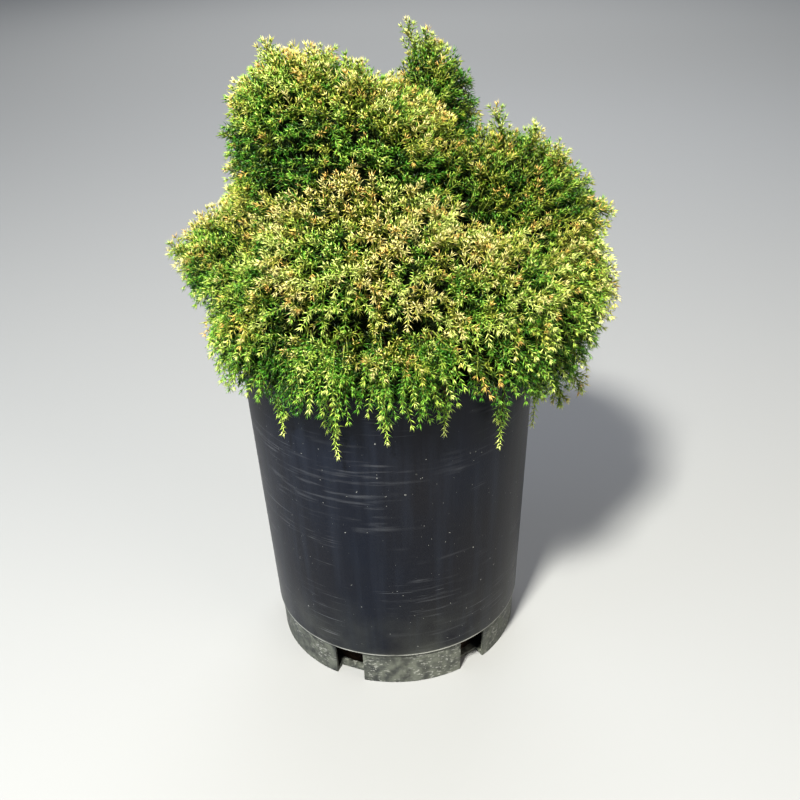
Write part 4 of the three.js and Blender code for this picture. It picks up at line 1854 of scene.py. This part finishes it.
    def long_shoots(self, mass: Mass, rng: Random) -> tuple[Sprays, Array]:
        """Grows the long shoots that set the outline, and the tails that hang over the rim.

        Args:
            mass: The mass.
            rng: The mass's stream.

        Returns:
            Their sprays, and the root and tip of each shoot.
        """
        bare = self.rule.tip_needles
        lines = []
        leading = [Sprays.none()]
        for name, point in LEADERS:
            if name == mass.name:
                tip = np.array(point, dtype=float)
                way = unit(tip - mass.centre)
                root = mass.centre + way * float(mass.core_radius(way)) * self.shoot.root_share
                ramp = Ramp.GREEN if mass.look is Look.LIME else Ramp.GOLDEN
                leading += self.shoot.dress(root, tip, bare, ramp, rng)
                lines.append((root, tip))
        hanging = [Sprays.none()]
        for name, angle, top, foot in TAILS:
            if name == mass.name:
                root = polar(angle, TAIL_ROOT_OUT, top)
                tip = polar(angle, TAIL_OUT, foot)
                hanging += self.tail.dress(root, tip, bare, polar(angle + 90.0, 1.0, 0.0), rng)
                lines.append((root, tip))
        tails = Sprays.joined(hanging)
        owner = np.arange(len(tails.length))
        clear = ~in_pot_space(tails.at(owner, np.ones(len(owner))), self.rule.pot_margin)
        return Sprays.joined([*leading, tails.keep(clear)]), np.array(lines).reshape(-1, 2, 3)

    def twigs(self, mass: Mass, layer: Layer, sprays: Sprays, shoots: Array, parts: Parts) -> None:
        """Adds the mass's stem, its limbs, its branchlets and the twigs to its sprays.

        Args:
            mass: The mass.
            layer: The tips, sorted into branchlets.
            sprays: The leading sprays, in the order of the tips.
            shoots: The root and tip of each long shoot.
            parts: Where the twigs go.
        """
        rule = self.rule
        hub = mass.centre + mass.inward * float(mass.core_radius(mass.inward)) * rule.hub_share
        limbs = max(2, len(layer.forks) // rule.branchlets_per_limb)
        _, group = far_apart(layer.forks, limbs)
        knees = []
        for k in range(group.max() + 1):
            knees.append(hub + (layer.forks[group == k].mean(axis=0) - hub) * rule.knee_share)
        knots = np.array(knees)
        run_twigs(mass.entry[None], hub[None], rule.stem_radii, rule.stem_sides, parts)
        run_twigs(np.tile(hub, (len(knots), 1)), knots, rule.limb_radii, rule.limb_sides, parts)
        run_twigs(knots[group], layer.forks, rule.branchlet_radii, rule.twig_sides, parts)
        run_twigs(layer.forks[layer.group], sprays.root, rule.twig_radii, rule.twig_sides, parts)
        if len(shoots):
            starts = shoots[:, 0]
            near = np.argmin(np.linalg.norm(knots[None] - starts[:, None], axis=2), axis=1)
            run_twigs(knots[near], starts, rule.shoot_limb_radii, rule.limb_sides, parts)
            ends = starts + (shoots[:, 1] - starts) * rule.shoot_woody
            run_twigs(starts, ends, rule.shoot_radii, rule.limb_sides, parts)

    def core(self, mass: Mass) -> Mesh:
        """Shapes the old foliage inside a mass, which its sprays stand out of, painted near-black as the
        shade deep in the crown.

        Args:
            mass: The mass.

        Returns:
            The core's mesh.
        """
        rule = self.rule
        cells = bmesh.new()
        bmesh.ops.create_icosphere(cells, subdivisions=4, radius=1.0)
        ways = unit(np.array([vert.co[:] for vert in cells.verts]))
        room = mass.needle_room(ways) + rule.core_overlap
        radius = self.inner_field.radius(mass, ways, rule.core_depth)
        radius = np.minimum(radius, self.field.radius(mass, ways, rule.core_cover))
        hollow = rule.relief.crest(mass.centre + ways * radius[:, None]).clip(rule.relief.deepest, 0.0)
        radius = np.minimum(radius + rule.relief.height * hollow, room).clip(1.0)
        steps = np.linspace(0.0, 1.0, rule.core_steps)
        trail = mass.centre + ways[:, None] * (radius[:, None] * steps[None])[..., None]
        edge = rule.hem.over(trail.reshape(-1, 3)).reshape(trail.shape[:2]) + rule.core_lift
        blocked = in_pot_space(trail, rule.tip_margin) | (trail[..., 2] < edge)
        clear = np.where(blocked.any(axis=1), np.argmax(blocked, axis=1) - 1, len(steps) - 1).clip(0)
        radius = radius * steps[clear]
        for vert, way, out in zip(cells.verts, ways, radius):
            bump = noise.noise(Vector(way) * rule.core_rough_pitch + Vector((mass.index, 0.0, 0.0)))
            rough = 1.0 - rule.core_rough / 2.0 + rule.core_rough * bump
            vert.co = Vector((mass.centre + way * max(out * rough, 1.0)) * MM)
        return finished(cells, f"core_{mass.name}")

    def build(self) -> None:
        """Grows and dresses every mass."""
        rule = self.rule
        outer = self.spread(self.field, rule.spacing, rule.skin, rule.outer_seed)
        inner = self.spread(self.inner_field, rule.inner_spacing, rule.inner_depth, rule.inner_seed)
        for mass in self.masses:
            rng = np.random.default_rng(rule.mass_seed + mass.index)
            layer = outer[mass.name]
            leaders = self.sprays(mass, layer, rule.leader_length, rng)
            shoots, shoot_lines = self.long_shoots(mass, rng)
            shaded = self.sprays(mass, inner[mass.name], rule.inner_length, rng)
            # The inner layer takes only the darkest colours: painted shade under the outer sprays
            shaded.tint = rule.inner_tint + rule.inner_tints * rng.random(len(shaded.tint))
            sprays = Sprays.joined([
                self.trim(mass, leaders),
                self.trim(mass, self.side_sprays(leaders, rng)),
                self.trim(mass, shaded),
            ])
            needles = Parts()
            twigs = Parts()
            for needle, grown in ((self.needle, sprays), (self.tail_needle, shoots)):
                if len(grown.length):
                    needle.stand(grown, rng, needles)
                    needle.stems(grown, 1, twigs)
            self.twigs(mass, layer, leaders, shoot_lines, twigs)
            name = f"needles_{mass.name}"
            show(name, needles.mesh(name), self.needle_materials, (mass.name,))
            show(f"twigs_{mass.name}", twigs.mesh(f"twigs_{mass.name}"), self.twig_materials)
            show(f"core_{mass.name}", self.core(mass), [self.core_material])


@dataclass(frozen=True)
class Pot:
    """The stepped nursery pot with drain windows round its foot, in millimetres."""

    ledge: float = 1.6
    foot_radius: float = 93.0
    wall: float = 2.2
    floor: float = 3.0
    lip: float = 0.9
    lip_steps: int = 4
    bead: float = 0.3
    foot_round: float = 0.5
    foot_flat: float = 0.4
    hollow: float = 0.6
    hollow_edge: float = 6.0
    hollow_slope: float = 1.0
    wall_base: float = 5.0
    cut_margin: float = 1.0
    windows: int = 6
    first_window: float = 245.5
    window_width: float = 22.5
    window_reach: float = 84.0
    window_head: float = 0.8
    bevel: float = 0.25
    bevel_angle: float = 50.0
    sharp_angle: float = 32.0
    sides: int = 144

    def profile(self) -> list[Pair]:
        """Draws the pot's section, up its outside and down its inside.

        Returns:
            The section's corners, as radius and height.
        """
        taper = (POT_TOP_RADIUS - STEP_RADIUS) / (POT_HEIGHT - STEP_HEIGHT)
        under = STEP_RADIUS - self.ledge
        inner = POT_TOP_RADIUS - self.wall
        section = [(0.0, self.hollow), (self.foot_radius - self.hollow_edge, self.hollow)]
        section += [(self.foot_radius - self.hollow_edge + self.hollow_slope, 0.0)]
        section += [(self.foot_radius - self.foot_flat, 0.0), (self.foot_radius, self.foot_round)]
        section += [(under, STEP_HEIGHT - self.bead), (under + self.bead, STEP_HEIGHT)]
        section += [(STEP_RADIUS - self.foot_round, STEP_HEIGHT), (STEP_RADIUS, STEP_HEIGHT + self.hollow)]
        section += [(STEP_RADIUS + taper * self.wall_base, STEP_HEIGHT + self.wall_base)]
        for k in range(self.lip_steps + 1):
            turn = math.radians(90.0 * k / self.lip_steps)
            out = POT_TOP_RADIUS - self.lip + self.lip * math.cos(turn)
            section.append((out, POT_HEIGHT - self.lip + self.lip * math.sin(turn)))
        section += [(inner + self.bead, POT_HEIGHT), (inner, POT_HEIGHT - self.bead)]
        section += [(self.foot_radius - self.wall, self.floor), (0.0, self.floor)]
        return section

    def cutters(self) -> Mesh:
        """Places the blocks that cut the drain windows.

        Returns:
            The blocks as one mesh.
        """
        cells = bmesh.new()
        deep = STEP_RADIUS + self.cut_margin - self.window_reach
        high = STEP_HEIGHT - self.window_head
        size = (deep * MM, self.window_width * MM, (high + self.cut_margin) * MM)
        middle = ((self.window_reach + deep / 2.0) * MM, 0.0, (high - self.cut_margin) / 2.0 * MM)
        for k in range(self.windows):
            made = bmesh.ops.create_cube(cells, size=1.0)["verts"]
            bmesh.ops.scale(cells, verts=made, vec=size)
            bmesh.ops.translate(cells, verts=made, vec=middle)
            turn = math.radians(self.first_window + 360.0 / self.windows * k)
            bmesh.ops.rotate(cells, verts=made, cent=(0, 0, 0), matrix=Matrix.Rotation(turn, 3, "Z"))
        return finished(cells, "pot_cutters")

    def build(self) -> None:
        """Makes the pot and puts it in the scene."""
        shell = finished(spun(self.profile(), self.sides), "pot_shell")
        body = put("pot_work", shell)
        blocks = put("pot_blocks", self.cutters())
        cut = body.modifiers.new("windows", "BOOLEAN")
        cut.operation = "DIFFERENCE"
        cut.solver = "EXACT"
        cut.object = blocks
        soften = body.modifiers.new("edges", "BEVEL")
        soften.width = self.bevel * MM
        soften.segments = 2
        soften.limit_method = "ANGLE"
        soften.angle_limit = math.radians(self.bevel_angle)
        graph = bpy.context.evaluated_depsgraph_get()
        graph.update()
        mesh = bpy.data.meshes.new_from_object(body.evaluated_get(graph))
        mesh.name = "pot_body"
        for work in (body, blocks):
            bpy.data.objects.remove(work)
        mesh.shade_smooth()
        mesh.set_sharp_from_angle(angle=math.radians(self.sharp_angle))
        show("pot_body", mesh, [NurseryPlastic().build()], ("pot",))


@dataclass(frozen=True)
class PottingMix:
    """The mounded mix in the pot and the chips on it, in millimetres."""

    floor: float = 3.35
    edge_height: float = 224.0
    mound_height: float = 229.0
    shoulder_height: float = 225.5
    mound_out: float = 30.0
    shoulder_out: float = 58.0
    edge_radius: float = 101.3
    ledge_radius: float = 91.4
    bar: float = 79.0
    rings: int = 26
    sides: int = 96
    roughness: float = 1.4
    rough_size: float = 6.25
    rough_from: float = 18.0
    rough_to: float = 100.0
    rough_above: float = 200.0
    seed: int = 5000
    chips: int = 1100
    chips_inside: float = 24.0
    chips_margin: float = 6.0
    chip_least: Point3 = (3.2, 2.0, 0.9)
    chip_more: Point3 = (4.0, 2.0, 0.8)
    chip_lift: float = 0.3
    chip_shares: tuple[float, ...] = (0.36, 0.34, 0.22, 0.08)
    grain_kind: int = 3
    grain_size: float = 1.8
    grain_height: float = 1.6
    tilt: float = 0.3
    chip_scatter: float = 0.16

    def ground(self, out: float) -> float:
        """The height of the mix at a distance from the axis."""
        outs = (self.mound_out, self.shoulder_out, self.edge_radius)
        return float(np.interp(out, outs, (self.mound_height, self.shoulder_height, self.edge_height)))

    def bed(self) -> Mesh:
        """Makes the body of the mix, with a rough top.

        Returns:
            Its mesh.
        """
        section = [(0.0, self.floor), (self.bar, self.floor), (self.bar, STEP_HEIGHT)]
        section += [(self.ledge_radius, STEP_HEIGHT)]
        for k in range(self.rings + 1):
            out = self.edge_radius * (1.0 - k / self.rings)
            section.append((out, self.ground(out)))
        cells = spun(section, self.sides)
        for vert in cells.verts:
            out = vert.co.xy.length
            if vert.co.z > self.rough_above * MM and self.rough_from * MM < out < self.rough_to * MM:
                vert.co.z += self.roughness * MM * noise.noise(vert.co / (self.rough_size * MM))
        return finished(cells, "potting_mix", smooth=True)

    def scatter(self) -> Mesh:
        """Strews chips and grains over the mix.

        Returns:
            All of them as one mesh.
        """
        rng = np.random.default_rng(self.seed)
        out = np.sqrt(rng.random(self.chips)) * (self.edge_radius - self.chips_margin)
        out = np.maximum(out, self.chips_inside)
        turn = rng.random(self.chips) * FULL_TURN
        kind = rng.choice(len(self.chip_shares), self.chips, p=self.chip_shares)
        rows = zip(self.chip_least, self.chip_more)
        long, wide, thick = (least + more * rng.random(self.chips) for least, more in rows)
        size = np.stack([long, wide], axis=1)
        size[kind == self.grain_kind] = self.grain_size
        thick = np.where(kind == self.grain_kind, self.grain_height, thick)
        parts = Parts()
        corners = np.array([[x, y, z] for z in (-1, 1) for y in (-1, 1) for x in (-1, 1)]) * 0.5
        faces = [[0, 2, 3], [0, 3, 1], [4, 5, 7], [4, 7, 6], [0, 1, 5], [0, 5, 4]]
        faces += [[2, 6, 7], [2, 7, 3], [0, 4, 6], [0, 6, 2], [1, 3, 7], [1, 7, 5]]
        for k in range(self.chips):
            middle = np.array([out[k] * math.cos(turn[k]), out[k] * math.sin(turn[k]), 0.0])
            middle[2] = self.ground(out[k]) + thick[k] * self.chip_lift
            tips = [Matrix.Rotation(rng.normal(0.0, self.tilt), 3, axis) for axis in "XY"]
            heading = Matrix.Rotation(rng.random() * FULL_TURN, 3, "Z") @ (tips[0] @ tips[1])
            shape = corners * (1.0 + rng.normal(0.0, self.chip_scatter, corners.shape))
            shape = shape * np.array([size[k, 0], size[k, 1], thick[k]])
            points = shape @ np.array(heading).T + middle
            parts.add(points, np.array(faces), np.full(len(faces), kind[k]))
        return parts.mesh("bark_chips")

    def build(self) -> None:
        """Makes the mix and its chips."""
        show("potting_mix", self.bed(), [POTTING_MIX.build()], ("soil",))
        chips = [finish.build() for finish in CHIP_FINISHES]
        show("bark_chips", self.scatter(), chips)


@dataclass(frozen=True)
class Limb:
    """One tapering limb with bark relief, along a curve with one bend, in millimetres."""

    start: Array
    bend: Array
    end: Array
    root_radius: float
    tip_radius: float
    flare: float = 0.0
    flare_fade: float = 9.0
    ribs: float = 5.0
    rib_depth: float = 0.25
    flat_share: float = 0.04
    sides: int = 12
    steps: int = 18
    relief: float = 0.06
    plate_pitch: float = 2.2
    plate_length: float = 5.0

    def radius(self, share: float, angle: float) -> float:
        """The radius at a share of the length and an angle round the limb."""
        shaft = self.root_radius + (self.tip_radius - self.root_radius) * share
        swell = self.flare * math.exp(-share * self.flare_fade)
        return shaft + swell * (1.0 + self.rib_depth * math.cos(self.ribs * angle))

    def grow(self, cells: Cells) -> None:
        """Adds the limb to a mesh, ring by ring.

        Args:
            cells: The mesh under way.
        """
        made = bmesh.ops.create_circle(cells, cap_ends=True, radius=1.0, segments=self.sides)["verts"]
        ring = sorted(made, key=lambda vert: math.atan2(vert.co.y, vert.co.x))
        face = ring[0].link_faces[0]
        self.place(ring, 0.0)
        for step in range(1, self.steps + 1):
            grown = bmesh.ops.extrude_face_region(cells, geom=[face])["geom"]
            cap = next(item for item in grown if isinstance(item, bmesh.types.BMFace))
            if step > 1:
                bmesh.ops.delete(cells, geom=[face], context="FACES_ONLY")
            fresh = set(cap.verts)
            ordered = []
            for old in ring:
                across = (edge.other_vert(old) for edge in old.link_edges)
                ordered.append(next(vert for vert in across if vert in fresh))
            self.place(ordered, step / self.steps)
            ring = ordered
            face = cap

    def place(self, ring: list[bmesh.types.BMVert], share: float) -> None:
        """Moves one ring of corners to its place on the limb.

        Args:
            ring: The ring's corners, in order.
            share: How far along the limb it stands.
        """
        near = 0.01
        middle = bezier(self.start, self.bend, self.end, share)
        ahead = bezier(self.start, self.bend, self.end, share + near)
        behind = bezier(self.start, self.bend, self.end, share - near)
        side, other = frames(unit(ahead - behind)[None])
        for k, vert in enumerate(ring):
            angle = FULL_TURN * k / len(ring)
            around = Vector((math.cos(angle), math.sin(angle), 0.0)) * self.plate_pitch
            rough = noise.noise(around + Vector((0.0, 0.0, share * self.plate_length + self.end[0])))
            out = self.radius(share, angle) * (1.0 + self.relief * rough)
            spot = middle + side[0] * out * math.cos(angle) + other[0] * out * math.sin(angle)
            if self.flare and share < self.flat_share:
                spot[2] = self.start[2]
            vert.co = Vector(spot * MM)


@dataclass(frozen=True)
class Limbs:
    """The trunk and the boughs, remade with bark relief, in millimetres."""

    masses: list[Mass]
    trunk_radius: float = 9.5
    fork_radius: float = 5.6
    flare: float = 6.5
    trunk_relief: float = 0.09
    trunk_sides: int = 36
    trunk_steps: int = 40

    def build(self) -> None:
        """Makes the trunk and every bough."""
        trunk = Limb(
            TRUNK_FOOT, TRUNK_BEND, TRUNK_FORK, self.trunk_radius, self.fork_radius, flare=self.flare,
            sides=self.trunk_sides, steps=self.trunk_steps, relief=self.trunk_relief,
        )
        boughs = [Limb(*mass.bough_curve(), mass.bough, BOUGH_TIP_RADIUS) for mass in self.masses]
        bough_nodes = tuple(f"bough_{mass.name}" for mass in self.masses)
        bark = BARK.build()
        for name, limbs, nodes in (("trunk_bark", [trunk], ("trunk",)), ("bough_bark", boughs, bough_nodes)):
            cells = bmesh.new()
            for limb in limbs:
                limb.grow(cells)
            bmesh.ops.recalc_face_normals(cells, faces=cells.faces)
            show(name, finished(cells, name, smooth=True), [bark], nodes)


@dataclass(frozen=True)
class Lamp:
    """A soft square lamp: its place and side in metres, its power in watts, its colour and its aim."""

    name: str
    at: Point3
    size: float
    power: float
    code: int
    aim: Point3 = (0.0, 0.0, 0.25)

    def hang(self) -> None:
        """Adds the lamp to the scene."""
        data = bpy.data.lights.new(self.name, "AREA")
        data.size = self.size
        data.energy = self.power
        data.color = linear(self.code)[:3]
        lamp = put(self.name, data)
        lamp.location = self.at
        lamp.rotation_euler = (Vector(self.aim) - Vector(self.at)).to_track_quat("-Z", "Y").to_euler()


@dataclass(frozen=True)
class Studio:
    """The floor, the lights and the camera, in metres and degrees."""

    lens: float = 45.0
    sensor: float = 36.0
    camera_at: Point3 = (0.0, -0.647, 0.547)
    yaw: float = 0.64
    pitch: float = 28.88
    roll: float = 2.11
    near: float = 0.01
    floor_size: float = 12.0
    floor_finish: PlainFinish = PlainFinish("pale floor", 0x97999C, roughness=0.9, specular=0.2)
    sky_code: int = 0xDCE6F4
    sky_strength: float = 0.2
    lamps: tuple[Lamp, ...] = (
        Lamp("key", (-0.4, -1.05, 1.7), 0.24, 87.0, 0xFFFBEE),
        Lamp("fill", (1.3, -1.1, 0.9), 1.0, 12.0, 0xFFF2E0),
        Lamp("sky", (-1.5, -0.5, 0.7), 1.0, 6.0, 0xD2E0FF),
        Lamp("rim", (0.3, 1.5, 1.5), 1.0, 8.0, 0xF2F6FF),
        Lamp("backdrop", (0.1, 3.2, 2.2), 2.4, 60.0, 0xFFFDF8, aim=(0.1, 3.0, 0.0)),
    )

    def camera(self) -> None:
        """Places the camera at the photograph's angle."""
        yaw = math.radians(self.yaw)
        pitch = math.radians(self.pitch)
        roll = math.radians(self.roll)
        forward = Vector((math.sin(yaw) * math.cos(pitch), math.cos(yaw) * math.cos(pitch), -math.sin(pitch)))
        level = Vector((math.cos(yaw), -math.sin(yaw), 0.0))
        down = forward.cross(level)
        right = level * math.cos(roll) + down * math.sin(roll)
        below = down * math.cos(roll) - level * math.sin(roll)
        turned = Matrix((right, -below, -forward)).transposed().to_4x4()
        data = bpy.data.cameras.new("camera")
        data.lens = self.lens
        data.sensor_width = self.sensor
        data.clip_start = self.near
        camera = put("camera", data)
        camera.matrix_world = Matrix.Translation(self.camera_at) @ turned
        bpy.context.scene.camera = camera

    def build(self) -> None:
        """Sets up the floor, the light and the camera."""
        cells = bmesh.new()
        bmesh.ops.create_grid(cells, x_segments=1, y_segments=1, size=self.floor_size)
        floor = put("floor", finished(cells, "floor"))
        floor.data.materials.append(self.floor_finish.build())
        for lamp in self.lamps:
            lamp.hang()
        world = bpy.data.worlds.new("studio")
        world.use_nodes = True
        sky = world.node_tree.nodes["Background"]
        sky.inputs["Color"].default_value = linear(self.sky_code)
        sky.inputs["Strength"].default_value = self.sky_strength
        bpy.context.scene.world = world
        bpy.context.scene.view_settings.view_transform = "Standard"
        bpy.context.scene.view_settings.look = "Medium High Contrast"
        self.camera()


def main() -> None:
    """Builds the pot, the mix, the limbs, the foliage and the studio."""
    logging.basicConfig(level=logging.INFO, format="%(name)s: %(message)s")
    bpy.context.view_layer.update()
    masses = plan_masses()
    Pot().build()
    PottingMix().build()
    Limbs(masses).build()
    Crown(masses).build()
    Studio().build()


if __name__ == "__main__":
    main()
